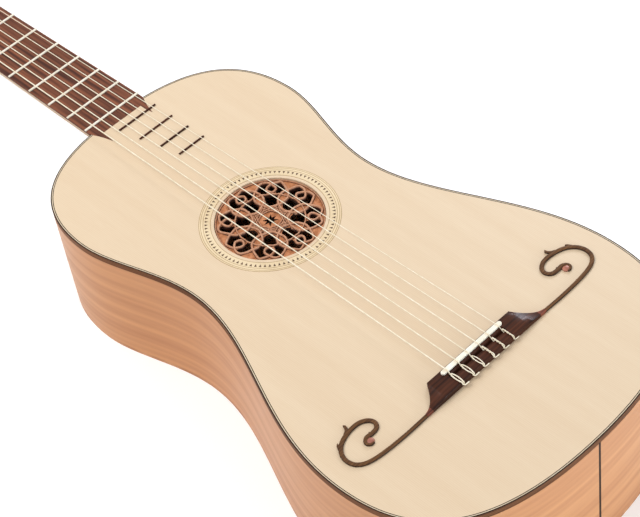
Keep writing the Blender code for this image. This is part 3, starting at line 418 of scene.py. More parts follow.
def coloured(tree, value, pale, dark, start, end, shader):
    """Gives the shader a pale tone where the value is at its start, and a dark one at its end."""
    ramp = add(tree, "ShaderNodeValToRGB", inputs={"Fac": value})
    for stop, position, colour in zip(ramp.color_ramp.elements, (start, end), (pale, dark)):
        stop.position = position
        stop.color = (*tone(colour), 1)
    tree.links.new(ramp.outputs["Color"], shader.inputs["Base Color"])


def wood(name, pale, dark, line, stretch, roughness, *, bump, lines=0.35, streaks=0.5, streak=0.012,
         wander=1.5, turn=0.0, uv=None, **sockets):
    """Planed wood: growth lines a given distance apart, streaks of colour, and fine pores.

    stretch is how much longer than wide a figure is along the grain, which runs along y, or along
    the first direction of the piece's own UV map. lines and streaks are how strong each is, streak
    is a streak's width, and wander bends the growth lines.
    """
    made, tree, shader = new_finish(name, roughness, **sockets)
    if uv:
        coords = add(tree, "ShaderNodeUVMap", {"uv_map": uv}).outputs["UV"]
    else:
        coords = add(tree, "ShaderNodeTexCoord").outputs["Object"]
    scale = (1 / stretch, 1, 1) if uv else (1, 1 / stretch, 1)
    flow = add(tree, "ShaderNodeMapping", inputs={"Vector": coords, "Rotation": (0, 0, turn)}).outputs[0]
    flow = add(tree, "ShaderNodeMapping", inputs={"Vector": flow, "Scale": scale}).outputs[0]
    growth = add(
        tree, "ShaderNodeTexWave",
        {"wave_type": "BANDS", "bands_direction": "Y" if uv else "X", "wave_profile": "SIN"},
        {"Vector": flow, "Scale": WAVE_SPACING / line, "Distortion": wander, "Detail": 2,
         "Detail Scale": 0.6},
    ).outputs["Fac"]
    cloud = ranged(tree, noise(tree, flow, streak, 4), 0, streaks, From_Min=0.3, From_Max=0.7)
    dusk = math_node(tree, "MULTIPLY_ADD", growth, lines, cloud)
    grainy = math_node(tree, "MULTIPLY_ADD", noise(tree, flow, PORE_SPACING, 2), PORE_DEPTH, dusk)
    level = math_node(tree, "SUBTRACT", grainy, PORE_MIDDLE, use_clamp=True)
    coloured(tree, level, pale, dark, 0, 1, shader)
    tree.links.new(ranged(tree, grainy, roughness - 0.04, roughness + 0.10), shader.inputs["Roughness"])
    relief(tree, grainy, bump, shader)
    return made


def polished(name, pale, dark, roughness, patch, *, bump, **sockets):
    """Bone, string or stained wood without figure: soft patches of tone and a faint unevenness."""
    made, tree, shader = new_finish(name, roughness, **sockets)
    coords = add(tree, "ShaderNodeTexCoord").outputs["Object"]
    patches = noise(tree, coords, patch, 5)
    coloured(tree, patches, pale, dark, 0.35, 0.7, shader)
    tree.links.new(ranged(tree, patches, roughness - 0.05, roughness + 0.08), shader.inputs["Roughness"])
    relief(tree, patches, bump, shader)
    return made


def make_finishes(looks):
    """Every finish of the guitar, by the name of its material slot or its own."""
    quarter = math.pi / 2
    return {
        # Quarter-sawn spruce under thin varnish: fine straight dark lines on pale cream
        "spruce": wood("spruce_soundboard", looks.spruce_colour, "#C4A077", looks.grain_spacing, 40, 0.45,
                       lines=0.16, streaks=0.16, streak=0.014, wander=0.8, bump=0.08),
        # Cherry ribs, oiled and rubbed: orange tan, with wavy darker lines along the bent wood
        "cherry": wood("cherry_ribs", looks.rib_colour, "#A05C34", 0.0065, 24, 0.36, lines=0.09,
                       streaks=0.42, streak=0.010, wander=5.0, bump=0.10, uv="along_rib",
                       Specular_IOR_Level=0.3, Coat_Weight=0.22, Coat_Roughness=0.25),
        # The flat back of the same cherry: broader figure along the body
        "cherry_back": wood("cherry_back", "#D59B6A", "#A8683C", 0.0070, 20, 0.36, lines=0.35,
                            streaks=0.6, streak=0.014, wander=3.0, bump=0.15),
        # Sycamore maple neck, rubbed smooth: pale greyish beige with faint figure
        "maple": wood("maple_neck", "#DCC4A8", "#B6987A", 0.0035, 18, 0.38, lines=0.25, streaks=0.5,
                      bump=0.12),
        # Inside wood, left as the plane leaves it
        "inner_softwood": wood("planed_softwood", "#DDBE92", "#B8915F", 0.0022, 25, 0.72, bump=0.35),
        # Brown-stained binding strip, its sides: reddish brown with lengthwise streaks, lighter than its top
        # as painted glare
        "brown_binding": wood("binding_side_painted_glare", "#8A5B3A", "#4A2B1A", 0.0016, 14, 0.46, lines=0.4,
                              streaks=0.7, streak=0.006, bump=0.15, uv="along_edge",
                              Specular_IOR_Level=0.1),
        # The binding's top face, in the strip's own near-black tone
        "binding_face": wood("binding_top_dark_tone", "#32201A", "#1E120D", 0.0016, 10, 0.5, bump=0.15,
                             Specular_IOR_Level=0.15),
        # Inlaid lines: black-dyed and white pearwood
        "dark_purfling": wood("black_dyed_line", "#2C1E18", "#1A110D", 0.0010, 12, 0.5, bump=0.1,
                              Specular_IOR_Level=0.15),
        "pale_purfling": wood("white_line", "#E9D9BC", "#D3B994", 0.0010, 12, 0.45, bump=0.1),
        # Oiled rosewood: brown red with near-black streaks and open pores
        "rosewood": wood("rosewood_fretboard", "#92573C", "#43231A", 0.0042, 30, 0.42, lines=0.4,
                         streaks=0.85, streak=0.0032, wander=2.5, bump=0.35, Specular_IOR_Level=0.2),
        # Polished near-black bridge wood, grain along the bridge
        "dark_bridge_wood": wood("polished_dark_wood", "#5A3425", "#24120C", 0.0030, 16, 0.22, lines=0.3,
                                 streaks=0.8, streak=0.005, turn=quarter, bump=0.08,
                                 Specular_IOR_Level=0.1),
        # Scrolls cut from brown wood and oiled, in the lit tone of their tops; their sides below are painted
        # darker as shade
        "scroll_wood": wood("oiled_scroll_wood", "#75502E", "#3E2515", 0.0020, 8, 0.48, lines=0.35,
                            streaks=0.7, streak=0.005, turn=quarter, bump=0.2, Specular_IOR_Level=0.15),
        # The scrolls' cut sides, painted darker as shade
        "scroll_side": wood("scroll_side_painted_shade", "#402818", "#22130B", 0.0012, 6, 0.55, lines=0.35,
                            streaks=0.7, streak=0.004, turn=quarter, bump=0.2, Specular_IOR_Level=0.2),
        # The bridge's tips, where the wood runs out reddish into the scrolls
        "bridge_tip": wood("reddish_bridge_tip", "#8A4B38", "#47241A", 0.0024, 10, 0.40, lines=0.35,
                           streaks=0.7, streak=0.004, turn=quarter, bump=0.15, Specular_IOR_Level=0.15),
        # Round buds in the scrolls: reddish, rubbed a little shinier than the cut wood
        "scroll_bud": polished("reddish_bud_wood", "#B5715A", "#7A4030", 0.42, 0.004, bump=0.3),
        # Knife-carved pearwood rose, stained warm brown; the dark in its ground is painted shade, given by
        # the finishes below
        "carved_rose_wood": polished("carved_pearwood", looks.rose_colour, "#A0623C", 0.50, 0.0030,
                                     bump=0.5, Specular_IOR_Level=0.2),
        # Cut walls of the rose's openings and sloping sides of its strands: dark brown, painted as shade in
        # the carving's hollows
        "rose_wall": polished("rose_walls_painted_shade", "#4A2A1E", "#2C1811", 0.65, 0.0025, bump=0.4),
        "rose_groove": polished("rose_strand_sides_painted_shade", "#5E3322", "#3A2016", 0.55, 0.0025, bump=0.4),
        # Crests of the strands and of the raised rim: pale pinkish brown, painted as light catching the
        # ridges
        "rose_rim": polished("rose_crests_painted_light", "#CC9A7A", "#AC7656", 0.45, 0.0020, bump=0.3,
                             Specular_IOR_Level=0.3),
        # Inlaid ring: pale wood bands with dark lines and small dark teeth
        "ring_inlay": wood("pale_ring_wood", "#E7D2AE", "#D4BB93", 0.0011, 20, 0.42, lines=0.2,
                           bump=0.08),
        "ring_line": wood("brown_ring_line", "#B39467", "#8F7048", 0.0011, 10, 0.42, bump=0.08),
        "ring_dark": wood("dark_ring_wood", "#664627", "#3A2412", 0.0011, 10, 0.42, bump=0.08),
        # Polished bone: ivory white, faintly mottled
        "bone": polished("polished_bone", "#FAF4E6", "#E9DEC6", 0.26, 0.006, bump=0.05),
        # Smooth gut-like string: creamy white and slightly glassy
        "string": polished("white_string", "#F6EBD4", "#E4D6B8", 0.28, 0.004, bump=0.03),
        # Turned peg wood, polished by hand: dark reddish brown
        "peg_wood": wood("turned_peg_wood", "#5E382A", "#2E1812", 0.0024, 8, 0.26, bump=0.12,
                         Coat_Weight=0.4),
    }


# Steps


class GuitarLooks(bpy.types.PropertyGroup):
    """Sizes and colours that a user may change before the steps run."""

    grain_spacing: FloatProperty(
        name="Grain spacing", description="Distance between the soundboard's growth lines", default=0.0013,
        min=0.0004, max=0.004, unit="LENGTH",
    )
    ring_teeth: IntProperty(
        name="Ring teeth", description="Small dark teeth in the ring round the rose", default=86, min=24,
        max=160,
    )
    spruce_colour: FloatVectorProperty(
        name="Spruce", description="Pale tone of the soundboard", subtype="COLOR", default=linear("#DFC9AB"),
    )
    rib_colour: FloatVectorProperty(
        name="Ribs", description="Light tone of the bent ribs", subtype="COLOR", default=linear("#D99A66"),
    )
    rose_colour: FloatVectorProperty(
        name="Rose", description="Light tone of the carved rose", subtype="COLOR", default=linear("#CC8A60"),
    )
    lamp_power: FloatProperty(
        name="Lamp power", description="Power of the large soft lamp", default=18.0, min=0.0, unit="POWER",
    )
    room_light: FloatProperty(
        name="Room light", description="Strength of the even light from all round", default=0.62, min=0.0,
        max=2.0,
    )


class GuitarStep:
    """What the steps share: each is one entry in the undo history."""

    bl_options = {"REGISTER", "UNDO"}


class GUITAR_OT_finishes(GuitarStep, bpy.types.Operator):
    """Mixes the woods, bone and string finishes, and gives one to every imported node"""

    bl_idname = "guitar.finishes"
    bl_label = "Finishes"

    def execute(self, context):
        FINISH.update(make_finishes(context.scene.guitar_looks))
        for part in frame["record"]["subparts"]:
            mesh = frame["nodes"][part["node"]].data
            mesh.materials.clear()
            mesh.materials.append(FINISH[part["material_slot"]])
        return {"FINISHED"}


class GUITAR_OT_soundboard(GuitarStep, bpy.types.Operator):
    """Makes the soundboard with its sound hole"""

    bl_idname = "guitar.soundboard"
    bl_label = "Soundboard"

    def execute(self, context):
        work = bmesh.new()
        inset = BINDING_WIDTH + PALE_LINE_WIDTH + DARK_LINE_WIDTH
        plate(work, [outline(inset), circle(HOLE_RADIUS)], 0, -BOARD_THICKNESS)
        finished("spruce_board", work, ["spruce"], ["soundboard"])
        return {"FINISHED"}


class GUITAR_OT_edges(GuitarStep, bpy.types.Operator):
    """Makes the binding and the two inlaid lines inside it"""

    bl_idname = "guitar.edges"
    bl_label = "Binding and lines"

    def execute(self, context):
        work = bmesh.new()
        plate(work, [outline(0), outline(BINDING_WIDTH)], 0, -BINDING_HEIGHT)
        run = work.loops.layers.uv.new("along_edge")
        # Faces on top take the strip's own dark tone, the sides a lighter reddish brown painted as glare
        for face in work.faces:
            face.material_index = int(face.normal.z > 0.9 or face.calc_center_median().z > -WELD)
            for loop in face.loops:
                place = loop.vert.co
                loop[run].uv = (math.atan2(place.y - MIDDLE_Y, place.x) * MEAN_RADIUS, place.z)
        strip = finished(
            "brown_binding_strip", work, ["brown_binding", "binding_face"], ["binding_top"],
        )
        softened(strip, mm(0.25), 2, 60)
        edge = BINDING_WIDTH + PALE_LINE_WIDTH
        for name, outer, inner, finish, nodes in (
            ("pale_line", BINDING_WIDTH, edge, "pale_purfling", ["purfling_top"]),
            ("dark_line", edge, edge + DARK_LINE_WIDTH, "dark_purfling", []),
        ):
            work = bmesh.new()
            plate(work, [outline(outer), outline(inner)], 0, -BOARD_THICKNESS)
            finished(name, work, [finish], nodes)
        return {"FINISHED"}


class GUITAR_OT_ribs(GuitarStep, bpy.types.Operator):
    """Makes the bent ribs and the flat back that they stand on"""

    bl_idname = "guitar.ribs"
    bl_label = "Ribs and back"

    def execute(self, context):
        outer, inner = half_outline(0), half_outline(RIB_THICKNESS)
        length = [0.0]
        for first, last in zip(outer, outer[1:]):
            length.append(length[-1] + (last - first).length)
        for side, name, node in ((1, "treble_rib", "rib_treble"), (-1, "bass_rib", "rib_bass")):
            work = bmesh.new()
            sections = []
            for a, b in zip(outer, inner):
                low = back_face(a.y) + BACK_THICKNESS
                rise = [low + (-BINDING_HEIGHT - low) * share for share in (0, 0.5, 1)]
                sections.append(
                    [Vector((side * a.x, a.y, z)) for z in rise]
                    + [Vector((side * b.x, b.y, z)) for z in reversed(rise)]
                )
            lofted(work, sections)
            # The wood's figure follows the bend: each corner takes the length up to the nearest outline point
            run = work.loops.layers.uv.new("along_rib")
            for face in work.faces:
                for loop in face.loops:
                    place = loop.vert.co
                    flat = Vector((side * place.x, place.y))
                    near = min(range(len(outer)), key=lambda i: (outer[i] - flat).length)
                    loop[run].uv = (length[near], place.z)
            finished(name, work, ["cherry"], [node])
        work = bmesh.new()
        plate(work, [outline(0)], lambda y: back_face(y) + BACK_THICKNESS, back_face)
        back = finished("cherry_back", work, ["cherry_back"], ["back"])
        softened(back, mm(1.0), 3, 60)
        return {"FINISHED"}


class GUITAR_OT_rose(GuitarStep, bpy.types.Operator):
    """Carves the rose: a pierced ground with woven strands, a belt, a star, cusps and a rim on it"""

    bl_idname = "guitar.rose"
    bl_label = "Rose"

    def execute(self, context):
        step = 360 / PETALS
        level = mm(-1.6)

        def polar(radius, degrees, z=0.0):
            """A point at millimetres and degrees from the rose's middle."""
            angle = math.radians(degrees)
            return Vector((mm(radius) * math.cos(angle), ROSE_Y + mm(radius) * math.sin(angle), z))

        def mirrored(shape):
            """A shape given on one side of its radius, closed by its mirror image."""
            return [*shape, *[(r, -a) for r, a in reversed(shape) if a]]

        def weave(points, count, phase=0.0):
            """Lifts and lowers a path a number of times, as it passes over and under the others."""
            total = len(points)
            return [
                p + Vector((0, 0, level + mm(0.3) * math.cos(phase + count * 2 * math.pi * i / total)))
                for i, p in enumerate(points)
            ]

        # The openings: a star in the middle, and for each petal a pane, a drop and an eye on each side of it
        loops = [circle(mm(40.1), 128)]
        loops.append([polar(2.7 if k % 2 else 6.2, k * step / 2) for k in range(2 * PETALS)])
        pane = mirrored((
            (14.0, 0), (14.5, 8.5), (16.6, 14.3), (18.2, 15.0), (20.2, 13.8), (22.2, 12.9), (24.4, 13.6),
            (24.7, 0),
        ))
        drop = mirrored(((27.9, 0), (28.8, 4.4), (31.2, 4.9), (33.2, 2.6), (34.6, 0)))
        eye = (
            (26.0, 7.4), (26.0, 14.9), (28.5, 18.4), (31.0, 19.6), (33.6, 16.0), (36.1, 11.8), (36.5, 8.4),
            (35.9, 4.8), (34.5, 4.0), (33.0, 5.8), (31.6, 7.2), (28.8, 7.2),
        )
        for k in range(PETALS):
            for shape, side in ((pane, 1), (drop, 1), (eye, 1), (eye, -1)):
                loops.append(smooth([polar(r, k * step + side * a) for r, a in shape], 3, closed=True))
        work = bmesh.new()
        plate(work, loops, mm(-2.3), mm(-4.7))
        work.normal_update()
        # The openings' walls take the dark brown painted as shade
        for face in work.faces:
            face.material_index = int(abs(face.normal.z) < 0.5)
        finished("rose_ground", work, ["carved_rose_wood", "rose_wall"], ["rose"])

        work = bmesh.new()
        # One strand for each petal: wide round the pane and both eyes, and in a loop round the drop
        petal = (
            (12.3, 0), (15.5, 22.5), (18.2, 28.2), (22.0, 30.8), (26.5, 28.4), (30.5, 22.5), (33.8, 17.2),
            (37.2, 11.6), (37.2, 6.8), (35.4, 0.6), (31.8, -5.9), (28.8, -5.8),
        )
        closing = ((27.1, 0), *[(r, -a) for r, a in reversed(petal[1:])])
        for k in range(PETALS):
            path = smooth([polar(r, k * step + a) for r, a in (*petal, *closing)], 4, closed=True)
            strand(work, weave(path, 11, k), mm(0.8), mm(0.75), RIDGED, RIDGED_SLOTS, closed=True)
        belt = weave(smooth([polar(25.3, 5 * i) for i in range(72)], 2, closed=True), 24)
        strand(work, belt, mm(0.5), mm(0.6), RIDGED, RIDGED_SLOTS, closed=True)
        for k in range(PETALS):
            # The middle is a woven star of straight double strands
            first, last = polar(12.6, (k + 0.5) * step), polar(12.6, (k + 2.5) * step)
            across = (last - first).cross(Vector((0, 0, 1))).normalized()
            for aside in (-0.8, 0.8):
                path = [first.lerp(last, i / 12) + across * mm(aside) for i in range(13)]
                strand(work, weave(path, 2.5, k * math.pi / 2), mm(0.38), mm(0.6), RIDGED, RIDGED_SLOTS)
            # A cusp stands along one side of each pane
            cusp = [polar(r, k * step + 14.2, mm(-2.1)) for r in (17.8, 20.0, 22.0, 24.2)]
            strand(work, cusp, mm(0.8), mm(0.5), RIDGED, RIDGED_SLOTS)
        rim = [polar(39.3, 2.5 * i, level - mm(0.1)) for i in range(144)]
        strand(work, rim, mm(0.45), mm(0.6), RIDGED, RIDGED_SLOTS, closed=True)
        # The strands' sloping sides take the dark brown painted as shade, their crests the pale tone painted
        # as light
        finished("rose_strands", work, ["rose_groove", "rose_rim"], [], sharp=50)
        return {"FINISHED"}


class GUITAR_OT_rose_ring(GuitarStep, bpy.types.Operator):
    """Lays the inlaid ring of bands, lines and small teeth round the rose"""

    bl_idname = "guitar.rose_ring"
    bl_label = "Ring round the rose"

    def execute(self, context):
        teeth = context.scene.guitar_looks.ring_teeth
        middle = Matrix.Translation((0, ROSE_Y, 0))
        work = bmesh.new()
        spun(work, [(r, PROUD) for r in (RING_START, *(r for r, _ in RING_BANDS))], 2 * teeth)
        for face in work.faces:
            distance = face.calc_center_median().xy.length
            face.material_index = int(next(line for r, line in RING_BANDS if distance < r))
        bmesh.ops.solidify(work, geom=work.faces[:], thickness=mm(1.0))
        finished(
            "inlaid_ring", work, ["ring_inlay", "ring_line"], ["rose_ring"],
            place=REST @ middle,
        )
        # Each tooth is a flat triangle in the widest pale band
        work = bmesh.new()
        shape = Matrix.Diagonal((1.1, 0.75, 1, 1)) @ Matrix.Rotation(math.pi / 2, 4, "Z")
        for angle in turns(teeth):
            place = middle @ Matrix.Rotation(angle, 4, "Z") @ Matrix.Translation((mm(46.0), 0, 0))
            bmesh.ops.create_cone(
                work, cap_ends=True, segments=3, radius1=mm(1.45), radius2=mm(1.45), depth=mm(0.3),
                matrix=place @ shape,
            )
        finished("ring_teeth", work, ["ring_dark"], [])
        return {"FINISHED"}


class GUITAR_OT_fretboard(GuitarStep, bpy.types.Operator):
    """Makes the fretboard with its two curved points, and the strip of maple below it"""

    bl_idname = "guitar.fretboard"
    bl_label = "Fretboard"

    def execute(self, context):
        # The board laps over the body's edge, and each of its two points runs on from there
        edge, lap, point = FRETBOARD_HALF_AT_BODY, mm(7.7), mm(13.1)
        start_y, end_y = NUT_Y - mm(0.3), TOP_Y - lap
        tip = Vector((edge - mm(6.6), end_y - point))
        root = Vector((edge - mm(7.9), end_y))
        outer = smooth([
            Vector((edge, TOP_Y)), Vector((edge - mm(1.1), TOP_Y - lap / 2)), Vector((edge - mm(2.8), end_y)),
            Vector((edge - mm(5.0), end_y - point / 2)), tip,
        ], 5)
        inner = smooth([tip, Vector(((tip.x + root.x) / 2 - mm(0.5), end_y - point / 2)), root], 5)
        half = [Vector((FRETBOARD_HALF_AT_NUT, start_y)), *outer, *inner[1:]]
        work = bmesh.new()
        plate(work, [half + [Vector((-p.x, p.y)) for p in reversed(half)]], PROUD, mm(-1.5))
        board = finished("rosewood_board", work, ["rosewood"], ["fretboard"])
        softened(board, mm(0.2), 2, 60)
        # A pale strip of the neck's maple shows under the board from the body to the nut
        work = bmesh.new()
        near, far = edge - mm(0.1), FRETBOARD_HALF_AT_NUT - mm(0.1)
        low_y = TOP_Y + mm(0.3)
        plate(work, [[(far, start_y), (near, low_y), (-near, low_y), (-far, start_y)]], mm(-1.55), mm(-4.4))
        finished("maple_strip", work, ["maple"], [])
        return {"FINISHED"}


class GUITAR_OT_head(GuitarStep, bpy.types.Operator):
    """Rounds the edges of the head and of its veneer"""

    bl_idname = "guitar.head"
    bl_label = "Head"

    def execute(self, context):
        for node, finish, width in (("head", "maple", 0.9), ("head_veneer", "rosewood", 0.35)):
            made = finished(f"rounded_{node}", welded_copy(node), [finish], [node], place=Matrix())
            softened(made, mm(width), 3, 50)
        return {"FINISHED"}


class GUITAR_OT_pegs(GuitarStep, bpy.types.Operator):
    """Turns the six pegs, each on its own body, with a flat oval grip at the back of the head"""

    bl_idname = "guitar.pegs"
    bl_label = "Pegs"

    def execute(self, context):
        grip = []
        for k in range(GRIP_STEPS + 1):
            share = k / GRIP_STEPS
            wide, thick = grip_half_sizes(share)
            z = GRIP_START - GRIP_LENGTH * share
            grip.append([Vector((mm(wide * math.cos(a)), mm(thick * math.sin(a)), mm(z))) for a in turns(24)])
        for number, (x, y) in enumerate(PEG_PLACES, 1):
            work = bmesh.new()
            spun(work, [(mm(r), mm(z)) for r, z in PEG_PROFILE], 32)
            lofted(work, grip)
            finished(
                f"turned_peg_{number}", work, ["peg_wood"], [f"peg_{number}"], f"peg_{number}",
                REST @ HEAD_FRAME @ Matrix.Translation((x, y, 0)), 50,
            )
        return {"FINISHED"}


class GUITAR_OT_bridge(GuitarStep, bpy.types.Operator):
    """Shapes the bridge with its tie block, trough and sloping ends"""

    bl_idname = "guitar.bridge"
    bl_label = "Bridge"

    def execute(self, context):
        # Along the bridge: how far the trough and the level part reach from its middle, and each end's slope
        trough, half, slope = mm(26.5), mm(39.5), mm(18.2)
        # Across it, from the rear edge: the saddle's line and the front edge
        rear, full = mm(14.5), mm(17.7)
        shares = (1, 0.9, 0.8, 0.7, 0.6, 0.5, 0.4, 0.3, 0.2, 0.1, 0.04, 0)
        stations = [half + slope * share for share in shares]
        stations += [mm(34), trough + mm(0.15), trough - mm(0.15), mm(20), mm(10), 0]
        stations += [-x for x in reversed(stations[:-1])]
        sections = []
        # The ends fall away in a curve, from the full width and height to thin tips
        for x in stations:
            left = 1 - max(0, (abs(x) - half) / slope)
            width = mm(2.2) + (full - mm(2.2)) * left ** 1.8
            height = mm(2.1) + mm(2.4) * left ** 2.2
            soft = 0.22 * min(width, height)
            inside = abs(x) < trough
            low = mm(1.8) if inside else height
            shoulder = height - mm(0.35) if inside else height
            # From the rear's foot over the tie block, through the trough, and over the front edge to its foot
            across = [
                (0, 0), (0, height - soft), (0.08 * soft, height - 0.6 * soft),
                (0.35 * soft, height - 0.25 * soft), (soft, height), (mm(7.0), height), (mm(7.45), shoulder),
                (mm(7.6), low + 0.1 * (shoulder - low)), (mm(8.0), low), (mm(9.6), low),
                (mm(9.8), low + 0.2 * (height - low)), (mm(11.8), height),
                (full - soft, height), (full - 0.35 * soft, height - 0.25 * soft),
                (full - 0.08 * soft, height - 0.6 * soft), (full, height - soft), (full, 0),
            ]
            sections.append([Vector((x, y / full * width - rear, z)) for y, z in across])
        work = bmesh.new()
        lofted(work, sections)
        for face in work.faces:
            face.material_index = int(abs(face.calc_center_median().x) > half + 0.72 * slope)
        finished(
            "shaped_bridge", work, ["dark_bridge_wood", "bridge_tip"], ["bridge"],
            sharp=30,
        )
        return {"FINISHED"}


class GUITAR_OT_scrolls(GuitarStep, bpy.types.Operator):
    """Shapes the two scrolls that run out from the bridge, with their buds and leaf points"""

    bl_idname = "guitar.scrolls"
    bl_label = "Scrolls"

    def execute(self, context):
        line = (
            (54.5, -13.3), (57.5, -13.3), (76.0, -13.6), (93.0, -12.9), (104.0, -11.5), (111.0, -9.0),
            (115.2, -4.8), (116.5, 1.2), (114.7, 7.0), (110.5, 11.7), (104.5, 14.7), (96.5, 16.3),
            (89.5, 15.8), (84.5, 12.7), (82.9, 8.3), (85.5, 4.5), (90.6, 3.7), (94.8, 4.0), (97.8, 2.4),
            (98.6, 0.0), (97.0, -2.0), (94.4, -2.3),
        )
        # Each leaf point's path, and how many times thinner than the others it is
        hooks = (
            (((106.0, 13.6), (102.5, 15.9), (99.4, 18.0), (98.0, 20.4), (98.3, 22.1)), 1),
            (((114.6, 6.5), (113.5, 9.3), (112.2, 12.2), (110.8, 14.6)), 1),
            (((94.0, 3.9), (92.3, 4.6), (90.9, 5.7)), 2),
        )

        def line_width(share):
            """Half width along the scroll: thin at its start, swelling, and tapered at its end."""
            swell = min(1.0, share / 0.3)
            taper = min(1.0, (1 - share) / 0.18)
            return mm((1.2 + 0.4 * swell) * (0.35 + 0.65 * taper))

        def hook_width(share):
            """Half width along a leaf point, tapered at its tip."""
            return mm((1.3 - 0.4 * share) * min(1.0, (1.06 - share) / 0.2))

        for side, name in ((1, "treble"), (-1, "bass")):
            work = bmesh.new()
            path = smooth([Vector((mm(side * x), mm(y), mm(0.75))) for x, y in line], 5)
            strand(work, path, line_width, mm(0.95), rounded_section(12, 0.65))
            for hook, thinner in hooks:
                path = smooth([Vector((mm(side * x), mm(y), mm(0.7))) for x, y in hook], 4)
                strand(
                    work, path, lambda share: hook_width(share) / thinner, mm(0.85), rounded_section(12, 0.7),
                )
            work.normal_update()
            bmesh.ops.recalc_face_normals(work, faces=work.faces)
            # Faces that lean away from the top take the darker wood painted as shade; the tops keep the lit
            # tone
            for face in work.faces:
                face.material_index = int(face.normal.z < 0.55)
            finished(
                f"{name}_scroll", work, ["scroll_wood", "scroll_side"], [f"scroll_{name}"],
                sharp=60,
            )
            work = bmesh.new()
            place = Matrix.Translation((mm(side * 95.5), mm(0.4), mm(0.7)))
            bmesh.ops.create_uvsphere(
                work, u_segments=24, v_segments=12, radius=1,
                matrix=place @ Matrix.Diagonal((mm(3.1), mm(2.7), mm(0.9), 1)),
            )
            finished(f"{name}_scroll_bud", work, ["scroll_bud"], [], sharp=60)
        return {"FINISHED"}


class GUITAR_OT_strings(GuitarStep, bpy.types.Operator):
    """Rounds the strings with their ties, and the turns on the pegs"""

    bl_idname = "guitar.strings"
    bl_label = "Strings"

    def execute(self, context):
        for number, diameter in enumerate(STRING_DIAMETERS, 1):
            for node, name, body in (
                (f"string_{number}", f"round_string_{number}", "guitar"),
                (f"winding_{number}", f"round_winding_{number}", f"peg_{number}"),
            ):
                work = welded_copy(node)
                work.normal_update()
                # What subdividing draws in is made good sideways alone
                for corner in work.verts:
                    corner.co += corner.normal * Vector((1, 1, 0)) * TUBE_SHRINKAGE * diameter / 2
                made = finished(name, work, ["string"], [node], body, Matrix(), 180)
                rounding = made.modifiers.new("rounding", "SUBSURF")
                rounding.levels = rounding.render_levels = 1
        return {"FINISHED"}


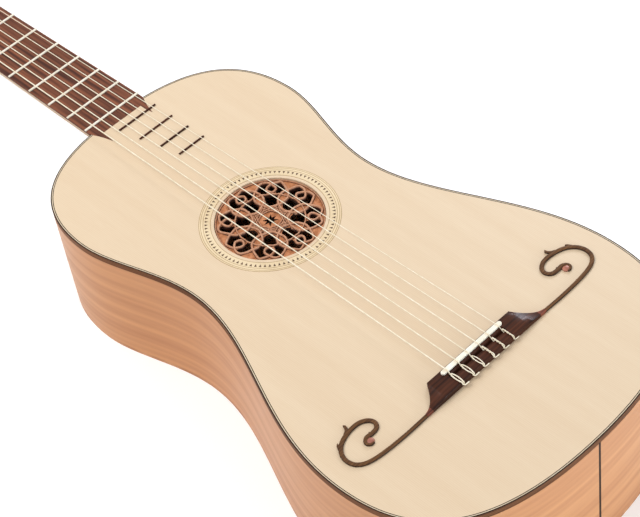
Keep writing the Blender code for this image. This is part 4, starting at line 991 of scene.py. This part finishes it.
class GUITAR_OT_stage(GuitarStep, bpy.types.Operator):
    """Sets the floor, the soft light, the white room and the camera"""

    bl_idname = "guitar.stage"
    bl_label = "Stage and camera"

    def execute(self, context):
        looks = context.scene.guitar_looks
        work = bmesh.new()
        bmesh.ops.create_grid(work, x_segments=1, y_segments=1, size=6)
        mesh = bpy.data.meshes.new("floor")
        work.to_mesh(mesh)
        work.free()
        # Matt white paper, lifted to full white where the camera sees it lit
        paper, tree, shader = new_finish("white_paper", 0.9)
        shader.inputs["Base Color"].default_value = (*linear("#EFEFEF"), 1)
        shader.inputs["Emission Color"].default_value = (1, 1, 1, 1)
        seen = add(tree, "ShaderNodeLightPath").outputs["Is Camera Ray"]
        tree.links.new(math_node(tree, "MULTIPLY", seen, FLOOR_LIFT), shader.inputs["Emission Strength"])
        mesh.materials.append(paper)
        linked("floor", mesh)
        # A white room, whose diffuse light is dimmer than the white that the camera and reflections see
        world = bpy.data.worlds.new("white_room")
        world.use_nodes = True
        tree = world.node_tree
        back = tree.nodes["Background"]
        back.inputs["Color"].default_value = (1, 1, 1, 1)
        rays = add(tree, "ShaderNodeLightPath").outputs
        clear = math_node(tree, "MAXIMUM", rays["Is Camera Ray"], rays["Is Transmission Ray"])
        clear = math_node(tree, "MAXIMUM", clear, rays["Is Glossy Ray"])
        tree.links.new(ranged(tree, clear, looks.room_light, 1.0), back.inputs["Strength"])
        context.scene.world = world
        # The large lamp hangs on the bass side. The slope lamp is small and cool, and so low beyond the
        # treble side that only the bridge's far slope throws it to the camera. The tail lamp stands beyond
        # the tail, not far above the soundboard, and lights the tail's ribs.
        for name, place, aim, power, size, colour in (
            ("soft_lamp", Vector((-0.75, 0.75, 1.6)), Vector((0, 0.15, 0.1)), looks.lamp_power, 1.1,
             (1, 1, 1)),
            ("slope_lamp", REST @ Vector((0.90, 0.54, 0.50)), REST @ Vector((0.05, 0, 0)), 4.0, 0.22,
             (0.8, 0.88, 1.0)),
            ("tail_lamp", Vector((0.25, -1.3, 0.30)), Vector((0, -0.1, 0.06)), 10.5, 0.5, (0.75, 0.88, 1.0)),
        ):
            light = bpy.data.lights.new(name, "AREA")
            light.energy, light.size, light.color = power, size, colour
            lamp = linked(name, light)
            lamp.location = place
            lamp.rotation_euler = (aim - place).to_track_quat("-Z", "Y").to_euler()
        data = bpy.data.cameras.new("photograph")
        data.sensor_width = SENSOR_WIDTH
        data.lens = FOCAL_PIXELS / PICTURE_WIDTH * SENSOR_WIDTH
        data.clip_start = 0.05
        camera = linked("photograph", data)
        # The solved rows point right, down and ahead, where a camera here has right, up and back
        turn = Matrix((CAMERA_ROWS[0], -CAMERA_ROWS[1], -CAMERA_ROWS[2])).transposed().to_4x4()
        camera.matrix_world = REST @ SETTLE.inverted() @ Matrix.Translation(CAMERA_PLACE) @ turn
        context.scene.camera = camera
        context.scene.view_settings.view_transform = "Standard"
        return {"FINISHED"}


STEPS = (
    GUITAR_OT_finishes, GUITAR_OT_soundboard, GUITAR_OT_edges, GUITAR_OT_ribs, GUITAR_OT_rose,
    GUITAR_OT_rose_ring, GUITAR_OT_fretboard, GUITAR_OT_head, GUITAR_OT_pegs, GUITAR_OT_bridge,
    GUITAR_OT_scrolls, GUITAR_OT_strings, GUITAR_OT_stage,
)


# Panel and start


class GUITAR_PT_panel(bpy.types.Panel):
    """Lists the looks and the steps"""

    bl_label = "Baroque guitar"
    bl_idname = "GUITAR_PT_panel"
    bl_space_type = "VIEW_3D"
    bl_region_type = "UI"
    bl_category = "Guitar"

    def draw(self, context):
        looks = context.scene.guitar_looks
        for name in GuitarLooks.__annotations__:
            self.layout.prop(looks, name)
        for step in STEPS:
            self.layout.operator(step.bl_idname)


CLASSES = (GuitarLooks, *STEPS, GUITAR_PT_panel)


def register():
    for made in CLASSES:
        bpy.utils.register_class(made)
    bpy.types.Scene.guitar_looks = PointerProperty(type=GuitarLooks)


def unregister():
    del bpy.types.Scene.guitar_looks
    for made in reversed(CLASSES):
        bpy.utils.unregister_class(made)


def main():
    register()
    for step in STEPS:
        family, name = step.bl_idname.split(".")
        getattr(getattr(bpy.ops, family), name)()


if __name__ == "__main__":
    main()
